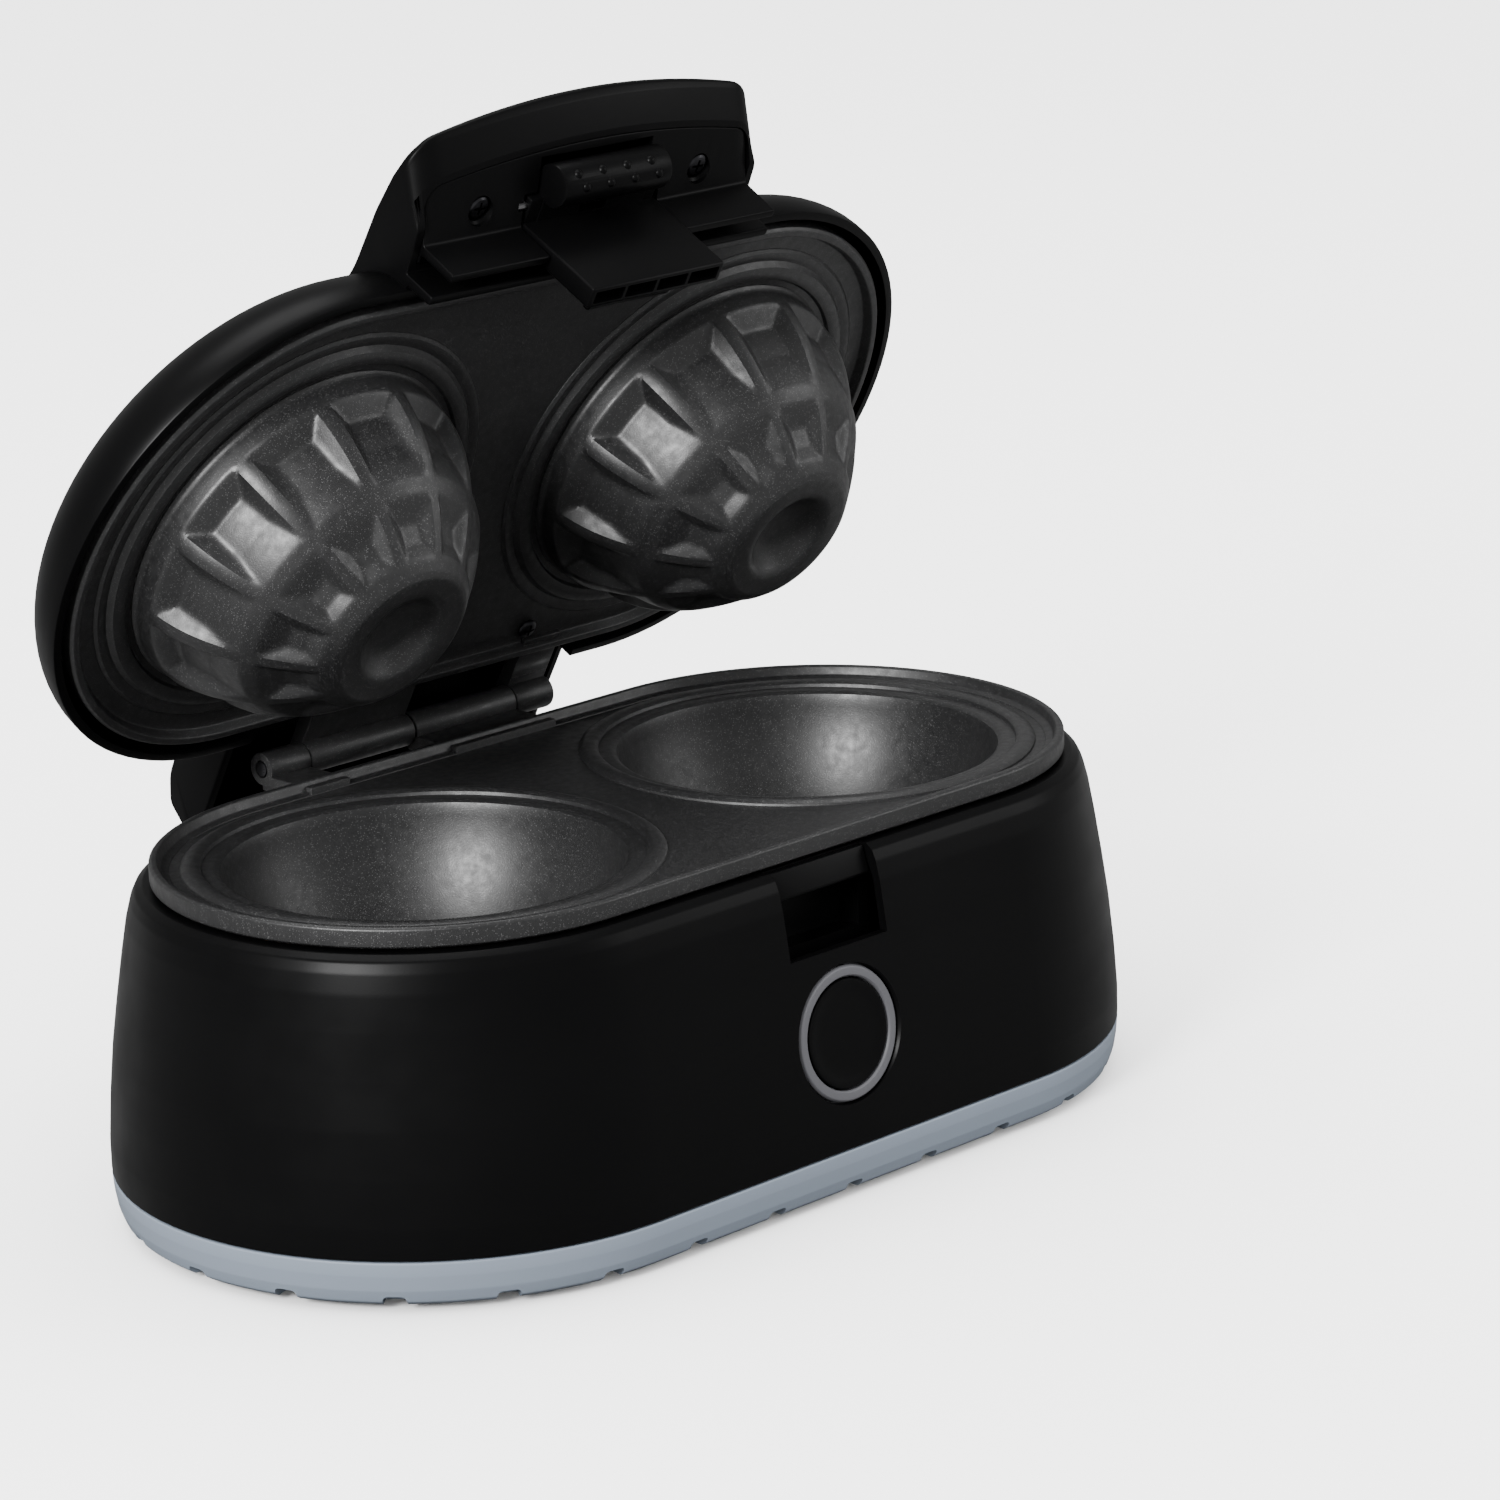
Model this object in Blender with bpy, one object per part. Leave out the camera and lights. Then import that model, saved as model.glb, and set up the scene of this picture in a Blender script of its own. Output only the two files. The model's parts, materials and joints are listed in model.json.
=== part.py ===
"""Electric waffle-bowl maker with two moulds: a base and a hinged lid, standing open.

Units are metres, +Z is up, -Y is the front and +X is the right end.
Base parts are modelled about the base's own centre line and hang from the empty "base".
Lid parts are modelled as they lie when the lid is shut, relative to the hinge axis, and hang from the
empty "lid", which turns them open. The latch and the button hang from empties on their own axes.
"""

import math

import bmesh
import bpy
from mathutils import Matrix, Vector

MM = 0.001

# Driving dimensions
HALF_SPACING = 69 * MM  # from the middle of the base to the middle of each bowl
FRAME_Y = -14.8 * MM  # the base's centre line, so that the open object's box is centred on the origin
OPEN_ANGLE = math.radians(61)
BASE_RADIUS = 82.6 * MM  # end radius of the base where it is widest
PLATE_RADIUS = 69 * MM
PART_LINE = 94.3 * MM  # where the two plates meet
LID_FACE = 94.6 * MM
LID_RADIUS = 73.9 * MM
LID_TOP = 120.6 * MM
CONE_HEIGHT = 44 * MM
TIP_RADIUS = 19.7 * MM
CONE_RADIUS = 48.5 * MM
WALL = 2.4 * MM
GAP = 0.3 * MM

HINGE_Y = 84 * MM
HINGE_Z = PART_LINE
KNUCKLE_RADIUS = 4.5 * MM
PIN_RADIUS = 2.0 * MM
PIN_BORE = 2.4 * MM
HINGE_HALF = 51 * MM
KNUCKLE_SPLIT = 37 * MM

HANDLE_HALF = 59 * MM
HANDLE_SAG = 7 * MM  # how far the handle's ends stand behind its middle
HANDLE_CORNER = 7.5 * MM  # radius of its front corners, seen from above
HOOD_HALF = 60 * MM
CROWN = 0.45  # how far the handle's top drops towards its ends, for each unit its nose stands back
HANDLE_SCREW_X = 38 * MM
HANDLE_SCREW_Y = -91.6 * MM
PLATE_SCREW_X = 37 * MM
PLATE_SCREW_Y = 60 * MM

LATCH_Y = -90 * MM
LATCH_Z = 100.3 * MM
TONGUE_HALF = 23 * MM
TONGUE_TIP = 69 * MM
POCKET_HALF = 23.7 * MM
ROLL_ROOM_HALF = 19.4 * MM

BUTTON_Z = 43.8 * MM
BUTTON_TILT = math.radians(6.6)
RING_RADIUS = 17.5 * MM
CAP_RADIUS = 14.1 * MM

RECESS_HALF = 17.5 * MM
RECESS_BOTTOM = 66 * MM
RECESS_STEP = 80.5 * MM
GLAND_X = 0 * MM
GLAND_Z = 26 * MM
SHIELD_SCREW_Y = 50 * MM

SCREW_ANGLE = math.radians(45)
BOSS_REACH = 72 * MM
FOOT_X = 97 * MM
FOOT_Y = 50 * MM

ARC_STEPS = 12  # facets on each half-round end
ELEMENT_STEPS = 9
BOWL_STEPS = 28  # facets round a bowl or a cone
RIB_COUNT = 12


def metres(profile):
    return [(across * MM, up * MM) for across, up in profile]


def clear_scene():
    for old in list(bpy.data.objects):
        bpy.data.objects.remove(old, do_unlink=True)


def material(name, colour, roughness, metallic=0.0):
    made = bpy.data.materials.new(name)
    made.use_nodes = True
    shader = made.node_tree.nodes["Principled BSDF"]
    shader.inputs["Base Color"].default_value = (*colour, 1)
    shader.inputs["Roughness"].default_value = roughness
    shader.inputs["Metallic"].default_value = metallic
    return made


def empty(name, location, tilt=0.0, parent=None):
    made = bpy.data.objects.new(name, None)
    made.location = location
    made.rotation_euler = (tilt, 0, 0)
    made.parent = parent
    bpy.context.collection.objects.link(made)
    return made


def to_object(bm, name, finish=None, parent=None, sharp=35):
    """Turns a bmesh into an object; with no finish it is a hidden helper for a Boolean."""
    bmesh.ops.recalc_face_normals(bm, faces=bm.faces)
    mesh = bpy.data.meshes.new(name)
    bm.to_mesh(mesh)
    bm.free()
    mesh.shade_smooth()
    mesh.set_sharp_from_angle(angle=math.radians(sharp))
    made = bpy.data.objects.new(name, mesh)
    made.parent = parent
    bpy.context.collection.objects.link(made)
    if finish:
        mesh.materials.append(finish)
    else:
        made.hide_render = True
        made.display_type = "WIRE"
    return made


def boolean(target, helper, operation="DIFFERENCE"):
    helper.parent = target.parent
    modifier = target.modifiers.new(helper.name, "BOOLEAN")
    modifier.operation = operation
    modifier.solver = "EXACT"
    modifier.object = helper
    return helper


def cut(target, bm, name):
    return boolean(target, to_object(bm, name))


def join(target, bm, name):
    return boolean(target, to_object(bm, name), "UNION")


def stadium(radius, z, steps=ARC_STEPS, half=HALF_SPACING):
    """The points of two half circles joined by straight sides, counter-clockwise from the right front."""
    points = []
    for side in (1, -1):
        for step in range(steps + 1):
            angle = math.pi * (step / steps - 0.5)
            points.append(Vector((side * (half + radius * math.cos(angle)), side * radius * math.sin(angle), z)))
    return points


def circle(radius, z, steps, centre=(0, 0)):
    turns = (2 * math.pi * step / steps for step in range(steps))
    return [Vector((centre[0] + radius * math.cos(t), centre[1] + radius * math.sin(t), z)) for t in turns]


def skin(bm, rings, closed=False):
    """Joins rings of equal length into one surface, with its two ends capped unless the profile is closed."""
    rows = [[bm.verts.new(point) for point in ring] for ring in rings]
    pairs = list(zip(rows, rows[1:]))
    if closed:
        pairs.append((rows[-1], rows[0]))
    for low, high in pairs:
        for i in range(len(low)):
            j = (i + 1) % len(low)
            bm.faces.new((low[i], low[j], high[j], high[i]))
    if not closed:
        bm.faces.new(rows[0])
        bm.faces.new(rows[-1])


def triangulated(bm):
    """Flat faces only, because a Boolean can't cut a twisted one cleanly."""
    bmesh.ops.recalc_face_normals(bm, faces=bm.faces)
    bmesh.ops.triangulate(bm, faces=bm.faces)
    return bm


def stadium_shape(profile, closed=False, steps=ARC_STEPS):
    bm = bmesh.new()
    skin(bm, [stadium(radius, z, steps) for radius, z in profile], closed)
    return bm


def turned(profile, centre=(0, 0), steps=24, closed=False):
    bm = bmesh.new()
    skin(bm, [circle(radius, z, steps, centre) for radius, z in profile], closed)
    return bm


def box(low, high):
    bm = bmesh.new()
    size = Vector(high) - Vector(low)
    middle = (Vector(high) + Vector(low)) / 2
    bmesh.ops.create_cube(bm, size=1, matrix=Matrix.Translation(middle) @ Matrix.Diagonal((*size, 1)))
    return bm


def rod(start, end, radius, steps=16):
    """A cylinder between two points."""
    bm = bmesh.new()
    along = Vector(end) - Vector(start)
    turn = along.to_track_quat("Z", "Y").to_matrix().to_4x4()
    place = Matrix.Translation((Vector(start) + Vector(end)) / 2) @ turn
    bmesh.ops.create_cone(
        bm, cap_ends=True, segments=steps, radius1=radius, radius2=radius, depth=along.length, matrix=place
    )
    return bm


def prism(outline, half, middle=0.0):
    """A (y, z) outline run along X."""
    bm = bmesh.new()
    skin(bm, [[Vector((x, y, z)) for y, z in outline] for x in (middle - half, middle + half)])
    return bm


# Finishes
def make_finishes():
    return {
        "shell": material("shell_black", (0.012, 0.012, 0.013), 0.38),
        "grey": material("base_grey", (0.33, 0.37, 0.43), 0.5),
        "mould": material("nonstick_black", (0.02, 0.02, 0.022), 0.42),
        "ring": material("ring_grey", (0.2, 0.2, 0.22), 0.45),
        "rubber": material("foot_rubber", (0.03, 0.03, 0.03), 0.85),
        "steel": material("steel", (0.55, 0.55, 0.56), 0.35, 1.0),
        "dark": material("dark_steel", (0.03, 0.03, 0.032), 0.4, 0.5),
        "element": material("element_sheath", (0.25, 0.24, 0.23), 0.5, 1.0),
        "aluminium": material("shield_aluminium", (0.75, 0.75, 0.76), 0.4, 1.0),
        "board": material("board_green", (0.02, 0.16, 0.06), 0.5),
        "ceramic": material("ceramic_white", (0.75, 0.74, 0.7), 0.6),
    }


# Base
def make_bottom_cover(finish, base):
    profile = [
        (74.0, 1.6), (78.6, 1.6), (80.4, 2.8), (81.6, 6.0), (82.3, 10.0), (BASE_RADIUS / MM, 13.6),
        (80.3, 13.6), (79.3, 7.4), (76.4, 4.4),
    ]
    cover = to_object(stadium_shape(metres(profile)), "bottom_cover", finish, base)
    cut(cover, vent_slots(), "vent_slot_cutter")
    holes = [rod((x, y, 0), (x, y, 8 * MM), 3.35 * MM, 12) for x, y in foot_places()]
    holes += [rod((x, y, 0), (x, y, 8 * MM), 2.0 * MM, 12) for x, y in boss_places()]
    holes += [rod((x, y, 0), (x, y, 3.3 * MM), 3.6 * MM, 12) for x, y in boss_places()]
    for number, hole in enumerate(holes):
        cut(cover, hole, f"cover_hole_cutter_{number}")


def vent_slots(pitch=27 * MM, width=6 * MM, height=4.4 * MM):
    """Short slots that let air in under the lower edge, evenly spaced round the base."""
    bm = bmesh.new()
    radius = 80 * MM
    straight = 2 * HALF_SPACING
    arc = math.pi * radius
    count = 2 * round((straight + arc) / pitch)
    for number in range(count):
        along = (number + 0.5) / count * 2 * (straight + arc)
        side = 1 if along < straight + arc else -1
        along %= straight + arc
        if along < straight:
            place = Matrix.Translation((side * (along - HALF_SPACING), -side * radius, 0))
            turn = Matrix.Rotation(0, 4, "Z")
        else:
            angle = (along - straight) / radius
            turn = Matrix.Rotation(angle + (0 if side > 0 else math.pi), 4, "Z")
            place = Matrix.Translation((side * HALF_SPACING, 0, 0))
            place = place @ turn @ Matrix.Translation((0, -radius, 0))
            turn = Matrix.Identity(4)
        size = Matrix.Diagonal((width, 10 * MM, 2 * height, 1))
        bmesh.ops.create_cube(bm, size=1, matrix=place @ turn @ size)
    return bm


def foot_places():
    return [(sx * FOOT_X, sy * FOOT_Y) for sy in (-1, 1) for sx in (-1, 1)]


def boss_places():
    across = BOSS_REACH * math.sin(SCREW_ANGLE)
    along = HALF_SPACING + BOSS_REACH * math.cos(SCREW_ANGLE)
    return [(sx * along, sy * across) for sy in (-1, 1) for sx in (-1, 1)]


def make_feet(finish, base):
    corners = ("front_left", "front_right", "back_left", "back_right")
    for corner, place in zip(corners, foot_places()):
        profile = [(7.8, 0), (8.4, 0.4), (8.4, 1.3), (3.0, 1.3), (3.0, 5.6), (2.2, 6.6)]
        shape = turned(metres(profile), place, 16)
        to_object(shape, f"foot_{corner}", finish, base)


def make_bottom_screws(finish, base):
    corners = ("front_left", "front_right", "back_left", "back_right")
    for corner, place in zip(corners, boss_places()):
        profile = [(3.1, 2.2), (3.2, 2.5), (3.2, 3.0), (1.5, 3.0), (1.5, 24.0), (0.8, 25.0)]
        shape = turned(metres(profile), place, 12)
        screw = to_object(shape, f"bottom_screw_{corner}", finish, base)
        slot = box(
            (place[0] - 4 * MM, place[1] - 0.5 * MM, 1.5 * MM),
            (place[0] + 4 * MM, place[1] + 0.5 * MM, 2.6 * MM),
        )
        cut(screw, slot, f"screw_slot_cutter_{corner}")


def make_lower_housing(finish, base):
    outer = [
        (BASE_RADIUS / MM, 14.0), (BASE_RADIUS / MM, 22.0), (81.8, 34.0), (80.6, 46.0), (78.9, 58.0), (77.0, 70.0),
        (75.4, 79.0), (74.0, 84.0), (72.8, 86.4), (71.0, 87.8),
    ]
    inner = [(66.6, 88.0), (66.6, 85.4), (70.6, 84.6), (73.0, 79.0), (76.5, 58.0), (79.3, 34.0), (80.1, 14.0)]
    shape = stadium_shape(metres(outer + inner), closed=True)
    housing = to_object(shape, "lower_housing", finish, base)
    for number, (x, y) in enumerate(boss_places()):
        side = 1 if x > 0 else -1
        out = Vector((x - side * HALF_SPACING, y, 0)).normalized()
        join(housing, rod((x, y, 14.3 * MM), (x, y, 40 * MM), 5 * MM, 16), f"boss_{number}")
        web = box((-1.3 * MM, 3 * MM, 14.3 * MM), (1.3 * MM, 8.6 * MM, 40 * MM))
        turn = Vector((0, 1, 0)).rotation_difference(out).to_matrix().to_4x4()
        bmesh.ops.transform(web, matrix=Matrix.Translation((x, y, 0)) @ turn, verts=web.verts)
        join(housing, web, f"boss_web_{number}")
        cut(housing, rod((x, y, 10 * MM), (x, y, 30 * MM), 1.9 * MM, 12), f"boss_bore_{number}")
    recess = box((-RECESS_HALF, -95 * MM, RECESS_BOTTOM), (RECESS_HALF, -68.4 * MM, 95 * MM))
    cut(housing, recess, "recess_cutter")
    cut(housing, on_button(rod((0, 0, -8 * MM), (0, 0, 8 * MM), RING_RADIUS + 0.5 * MM, 24)), "ring_bore_cutter")
    gland = rod((GLAND_X, 70 * MM, GLAND_Z), (GLAND_X, 90 * MM, GLAND_Z), 7.4 * MM, 24)
    cut(housing, gland, "gland_hole_cutter")


def button_frame():
    """Places local Z along the button's axis, with its origin on the housing's front face."""
    face = -80.8 * MM
    stand = Matrix.Rotation(math.radians(90) - BUTTON_TILT, 4, "X")
    return Matrix.Translation((0, face, BUTTON_Z)) @ stand


def on_button(bm):
    bmesh.ops.transform(bm, matrix=button_frame(), verts=bm.verts)
    return bm


def make_button(finishes, base, button):
    ring = [
        (14.6, -0.6), (RING_RADIUS / MM, -0.6), (RING_RADIUS / MM, -3.9), (20.0, -3.9), (20.0, -6.4),
        (12.4, -6.4), (12.4, -5.6), (14.6, -5.6),
    ]
    to_object(
        on_button(turned(metres(ring), steps=24, closed=True)),
        "light_ring", finishes["ring"], base,
    )
    cap = [
        (CAP_RADIUS / MM - 0.8, -0.2), (CAP_RADIUS / MM, -0.7), (CAP_RADIUS / MM, -3.2),
        (3.0, -3.2), (3.0, -9.4),
    ]
    shape = on_button(turned(metres(cap), steps=24))
    bmesh.ops.transform(shape, matrix=button_home().inverted(), verts=shape.verts)
    to_object(shape, "power_button", finishes["shell"], button)
    board = to_object(
        on_button(box((-21 * MM, -15 * MM, -12.4 * MM), (21 * MM, 15 * MM, -10.8 * MM))),
        "indicator_board", finishes["board"], base,
    )
    cut(board, on_button(rod((0, 0, -14 * MM), (0, 0, -9 * MM), 4 * MM, 16)), "board_hole_cutter")
    switch = to_object(
        on_button(box((-6 * MM, -6 * MM, -19 * MM), (6 * MM, 6 * MM, -12.7 * MM))),
        "button_switch", finishes["shell"], base,
    )
    join(switch, on_button(rod((0, 0, -14 * MM), (0, 0, -11.8 * MM), 1.8 * MM, 12)), "switch_plunger")


def button_home():
    """Where the button's empty stands: on its axis, at the housing's face."""
    return Matrix.Translation(button_frame().translation)


def make_latch_keeper(finish, base):
    """The insert behind the front recess: a pocket for the latch's nose, under a sloping lip."""
    half = RECESS_HALF - 0.5 * MM
    body = box((-21 * MM, -68.1 * MM, 62 * MM), (21 * MM, -60 * MM, 81.2 * MM))
    keeper = to_object(body, "latch_keeper", finish, base)
    lip = [(-72.2, 81.2), (-70.2, 87.6), (-68.8, 87.6), (-68.8, 84.0), (-65.0, 84.0), (-65.0, 80.5), (-72.0, 80.5)]
    join(keeper, prism(metres(lip), half), "keeper_lip")
    pocket = box((-half, -70 * MM, RECESS_BOTTOM), (half, -62 * MM, RECESS_STEP))
    cut(keeper, pocket, "keeper_pocket_cutter")


def bowl_outer():
    """Underside of one lower bowl."""
    return [(56.6, 90.0), (55.4, 86.0), (53.6, 80.0), (49.2, 69.0), (41.6, 57.0), (31.0, 48.0), (24.0, 44.0)]


def bowl_inner():
    """Inside of one lower bowl, from above the plate down to its floor."""
    return [
        (55.4, 95.0), (55.0, 91.0), (52.0, 90.2), (50.6, 86.6), (49.2, 80.6), (45.2, 70.2), (37.8, 58.8),
        (27.8, 50.2), (22.9, 47.3),
    ]


def make_lower_plate(finish, base):
    body = [
        (63.0, 88.7), (PLATE_RADIUS / MM - 0.6, 88.6), (PLATE_RADIUS / MM, 89.2), (PLATE_RADIUS / MM, 93.4),
        (68.4, 94.0), (66.8, 94.0), (66.2, 91.4), (64.0, 91.0),
    ]
    plate = to_object(stadium_shape(metres(body)), "lower_mould_plate", finish, base)
    for side in (-1, 1):
        middle = (side * HALF_SPACING, 0)
        join(plate, turned(metres(bowl_outer()), middle, BOWL_STEPS), f"bowl_{side}")
    for side in (-1, 1):
        middle = (side * HALF_SPACING, 0)
        cut(plate, turned(metres(bowl_inner()), middle, BOWL_STEPS), f"bowl_cutter_{side}")
    for low, high in ((-HINGE_HALF, -KNUCKLE_SPLIT - GAP), (GAP, KNUCKLE_SPLIT)):
        arm = box((low, 64 * MM, 88.6 * MM), (high, HINGE_Y, 92.8 * MM))
        join(plate, arm, "lower_arm")
        join(plate, rod((low, HINGE_Y, HINGE_Z), (high, HINGE_Y, HINGE_Z), KNUCKLE_RADIUS, 20), "lower_knuckle")
    for sign in (-1, 1):
        stud = rod((0, sign * SHIELD_SCREW_Y, 42.4 * MM), (0, sign * SHIELD_SCREW_Y, 90 * MM), 4.5 * MM, 16)
        join(plate, stud, "plate_stud")
        bore = rod((0, sign * SHIELD_SCREW_Y, 38 * MM), (0, sign * SHIELD_SCREW_Y, 58 * MM), 1.9 * MM, 12)
        cut(plate, bore, "stud_bore")
    pin_way = rod((-60 * MM, HINGE_Y, HINGE_Z), (60 * MM, HINGE_Y, HINGE_Z), PIN_BORE, 20)
    cut(plate, pin_way, "lower_pin_cutter")


def make_hinge_pin(finish, base):
    to_object(
        rod((-HINGE_HALF, HINGE_Y, HINGE_Z), (HINGE_HALF, HINGE_Y, HINGE_Z), PIN_RADIUS, 16),
        "hinge_pin", finish, base,
    )


def element_loop(name, radius, z, finish, parent, origin=(0, 0), sheath=3.2 * MM):
    """A tubular heating element: one open loop round both bowls, its two ends side by side at the back."""
    loop = stadium(radius, z, ELEMENT_STEPS)
    ends = ELEMENT_STEPS + 1
    route = [Vector((9 * MM, radius, z))] + loop[:ends][::-1] + loop[ends:][::-1] + [Vector((-9 * MM, radius, z))]
    route = [point - Vector((0, *origin)) for point in route]
    curve = bpy.data.curves.new(name, "CURVE")
    curve.dimensions = "3D"
    curve.bevel_depth = sheath
    curve.bevel_resolution = 1
    curve.use_fill_caps = True
    spline = curve.splines.new("POLY")
    spline.points.add(len(route) - 1)
    for point, place in zip(spline.points, route):
        point.co = (*place, 1)
    made = bpy.data.objects.new(name, curve)
    made.parent = parent
    curve.materials.append(finish)
    bpy.context.collection.objects.link(made)


def make_lower_shield(finishes, base):
    pan = [(50.0, 38.0), (55.0, 40.0), (58.6, 50.0), (57.6, 50.0), (54.2, 41.0), (49.6, 39.2)]
    shield = to_object(
        stadium_shape(metres(pan), steps=12), "lower_heat_shield", finishes["aluminium"], base
    )
    for sign, name in ((-1, "front"), (1, "back")):
        y = sign * SHIELD_SCREW_Y
        cut(shield, rod((0, y, 30 * MM), (0, y, 50 * MM), 2.2 * MM, 12), "shield_hole")
        profile = [(3.4, 35.6), (3.6, 36.0), (3.6, 37.7), (1.5, 37.7), (1.5, 54.0), (0.8, 55.0)]
        to_object(
            turned(metres(profile), (0, y), 12), f"shield_screw_{name}",
            finishes["steel"], base,
        )


def make_base_electrics(finishes, base):
    profile = [(8.0, 87.4), (8.0, 80.0), (6.0, 79.6), (6.0, 76.0)]
    to_object(turned(metres(profile), (0, 0), 24), "thermostat", finishes["ceramic"], base)
    to_object(
        rod((-14 * MM, 24 * MM, 84.6 * MM), (14 * MM, 24 * MM, 84.6 * MM), 2.4 * MM, 12),
        "thermal_fuse", finishes["ceramic"], base,
    )
    block = to_object(
        box((-22 * MM, 30 * MM, 4.8 * MM), (22 * MM, 46 * MM, 18 * MM)), "terminal_block", finishes["ceramic"], base
    )
    for number in range(4):
        x = (-15 + 10 * number) * MM
        cut(block, rod((x, 38 * MM, 8 * MM), (x, 38 * MM, 20 * MM), 2.6 * MM, 12), f"terminal_well_{number}")
    gland = [
        (4.2, 76.0), (9.4, 76.0), (9.4, 78.6), (7.0, 78.6), (7.0, 84.6), (5.8, 86.4), (4.2, 86.4),
    ]
    shape = turned(metres(gland), steps=24, closed=True)
    turn = Matrix.Translation((GLAND_X, 0, GLAND_Z)) @ Matrix.Rotation(math.radians(-90), 4, "X")
    bmesh.ops.transform(shape, matrix=turn, verts=shape.verts)
    to_object(shape, "cord_gland", finishes["shell"], base)


# Lid: modelled shut, then moved so that the hinge axis is its origin
def to_lid(bm):
    bmesh.ops.translate(bm, vec=(0, -HINGE_Y, -HINGE_Z), verts=bm.verts)
    return bm


def lid_point(x, y, z):
    return Vector((x, y - HINGE_Y, z - HINGE_Z))


def dome(radius, top, flat, low, steps=5, power=1.9):
    """Rising profile of the lid from its rim to its nearly flat top."""
    points = []
    for step in range(steps + 1):
        rise = step / steps
        rise = math.sin(rise * math.pi / 2)
        points.append((flat + (radius - flat) * (1 - rise**power) ** (1 / power), low + (top - low) * rise))
    return points


def handle_outline(shift):
    """Side outline of the handle, its neck and the skirt under it; shift moves the nose back."""
    drop = CROWN * min(shift, HANDLE_SAG / MM)
    nose = [
        (-56.0, 118.0), (-66.0, 117.7 - drop), (-98.0 + shift, 117.0 - drop), (-108.0 + shift, 115.6 - drop),
        (-113.6 + shift, 112.8 - 0.6 * drop), (-114.8 + shift, 110.6 - 0.4 * drop), (-113.4 + shift, 108.4),
        (-106.6 + shift, 103.2), (-90.0, 98.6),
    ]
    skirt = [
        (-77.4, 97.4), (-77.4, 87.0), (-74.9, 87.0), (-74.6, 95.6), (-72.5, 96.6), (-72.3, 101.0),
        (-69.7, 107.0), (-65.4, 112.0), (-58.3, 116.1),
    ]
    return nose + skirt


def sag(x):
    """How far the handle's nose stands back at x, in millimetres."""
    return HANDLE_SAG / MM * (x / HANDLE_HALF) ** 2


def corner(x, half):
    """How much further the rounded corner of a run that ends at half stands back at x, in millimetres."""
    start = HANDLE_HALF - HANDLE_CORNER
    radius = half - start
    along = max(0.0, abs(x) - start)
    return (radius - math.sqrt(max(0.0, radius**2 - along**2))) / MM


def curved_run(outline, half):
    """A side outline run along the handle, with its nose following the handle's bow and rounded corners."""
    right = (0.2, 0.5, 0.8, 0.9, 0.95, 0.985, 1.0)
    sections = []
    for station in [-share for share in reversed(right)] + list(right):
        x = station * half
        shift = sag(x) + corner(x, half)
        sections.append([Vector((x, y * MM, z * MM)) for y, z in outline(shift)])
    bm = bmesh.new()
    skin(bm, sections)
    return triangulated(bm)


def grip_outline(shift):
    """Side outline of the hollow inside the handle."""
    drop = CROWN * min(shift, HANDLE_SAG / MM)
    return [
        (-105.0 + shift, 90.0), (-105.0 + shift, 104.4), (-110.8 + shift, 109.0 - 0.2 * drop),
        (-111.8 + shift, 110.8 - 0.6 * drop), (-107.6 + shift, 113.2 - drop), (-92.0, 114.4 - drop),
        (-79.6, 114.8 - drop), (-79.6, 90.0),
    ]


def cover_outline(shift):
    """Side outline of the sloping cover that closes the handle from below, with the skirt behind it."""
    return [
        (-104.7 + shift, 102.6), (-104.7 + shift, 105.0), (-79.9, 99.7), (-79.9, 97.3), (-82.6, 97.3),
        (-82.6, 85.2), (-84.8, 85.2), (-85.2, 97.3),
    ]


def make_lid_shell(finish, lid):
    outer = [(LID_RADIUS, LID_FACE + 0.3 * MM)] + dome(LID_RADIUS, LID_TOP, 46 * MM, LID_FACE + 3.4 * MM)
    inner = dome(LID_RADIUS - WALL, LID_TOP - WALL, 46 * MM, LID_FACE + 3.4 * MM)
    inner = [(LID_RADIUS - WALL, LID_FACE + 0.3 * MM)] + inner
    shell = to_object(to_lid(stadium_shape(outer[::-1] + inner)), "lid_shell", finish, lid)
    join(shell, to_lid(curved_run(handle_outline, HANDLE_HALF)), "handle_solid")
    hood = [
        (72.4, 100.0), (111.0, 100.0), (111.0, 106.0), (108.4, 113.0), (101.0, 116.6), (57.0, 117.7),
        (58.3, 116.1), (65.4, 112.0), (69.7, 107.0),
    ]
    join(shell, to_lid(prism(metres(hood), HOOD_HALF)), "hood_solid")
    hollow = [(50.0, 90.0), (108.6, 90.0), (108.6, 105.4), (106.4, 111.0), (100.0, 114.6), (50.0, 116.4)]
    cut(shell, to_lid(prism(metres(hollow), HOOD_HALF - WALL)), "hood_cutter")
    cut(shell, to_lid(curved_run(grip_outline, HANDLE_HALF - WALL)), "grip_cutter")
    for side in (-1, 1):
        x = side * HANDLE_SCREW_X
        boss = rod((x, HANDLE_SCREW_Y, 104.8 * MM), (x, HANDLE_SCREW_Y, 114.8 * MM), 4 * MM, 12)
        join(shell, to_lid(boss), "handle_boss")
        bore = rod((x, HANDLE_SCREW_Y, 100 * MM), (x, HANDLE_SCREW_Y, 112.6 * MM), 1.9 * MM, 10)
        cut(shell, to_lid(bore), "handle_boss_bore")
        x = side * PLATE_SCREW_X
        boss = rod((x, PLATE_SCREW_Y, 100.4 * MM), (x, PLATE_SCREW_Y, 117 * MM), 4 * MM, 12)
        join(shell, to_lid(boss), "plate_boss")
        bore = rod((x, PLATE_SCREW_Y, 98 * MM), (x, PLATE_SCREW_Y, 112 * MM), 1.9 * MM, 12)
        cut(shell, to_lid(bore), "plate_boss_bore")


def cone_radius(depth):
    """Radius of the cone's ribs at a depth below the parting line."""
    return TIP_RADIUS + (CONE_RADIUS - TIP_RADIUS) * (1 - (depth / CONE_HEIGHT) ** 2)


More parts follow.
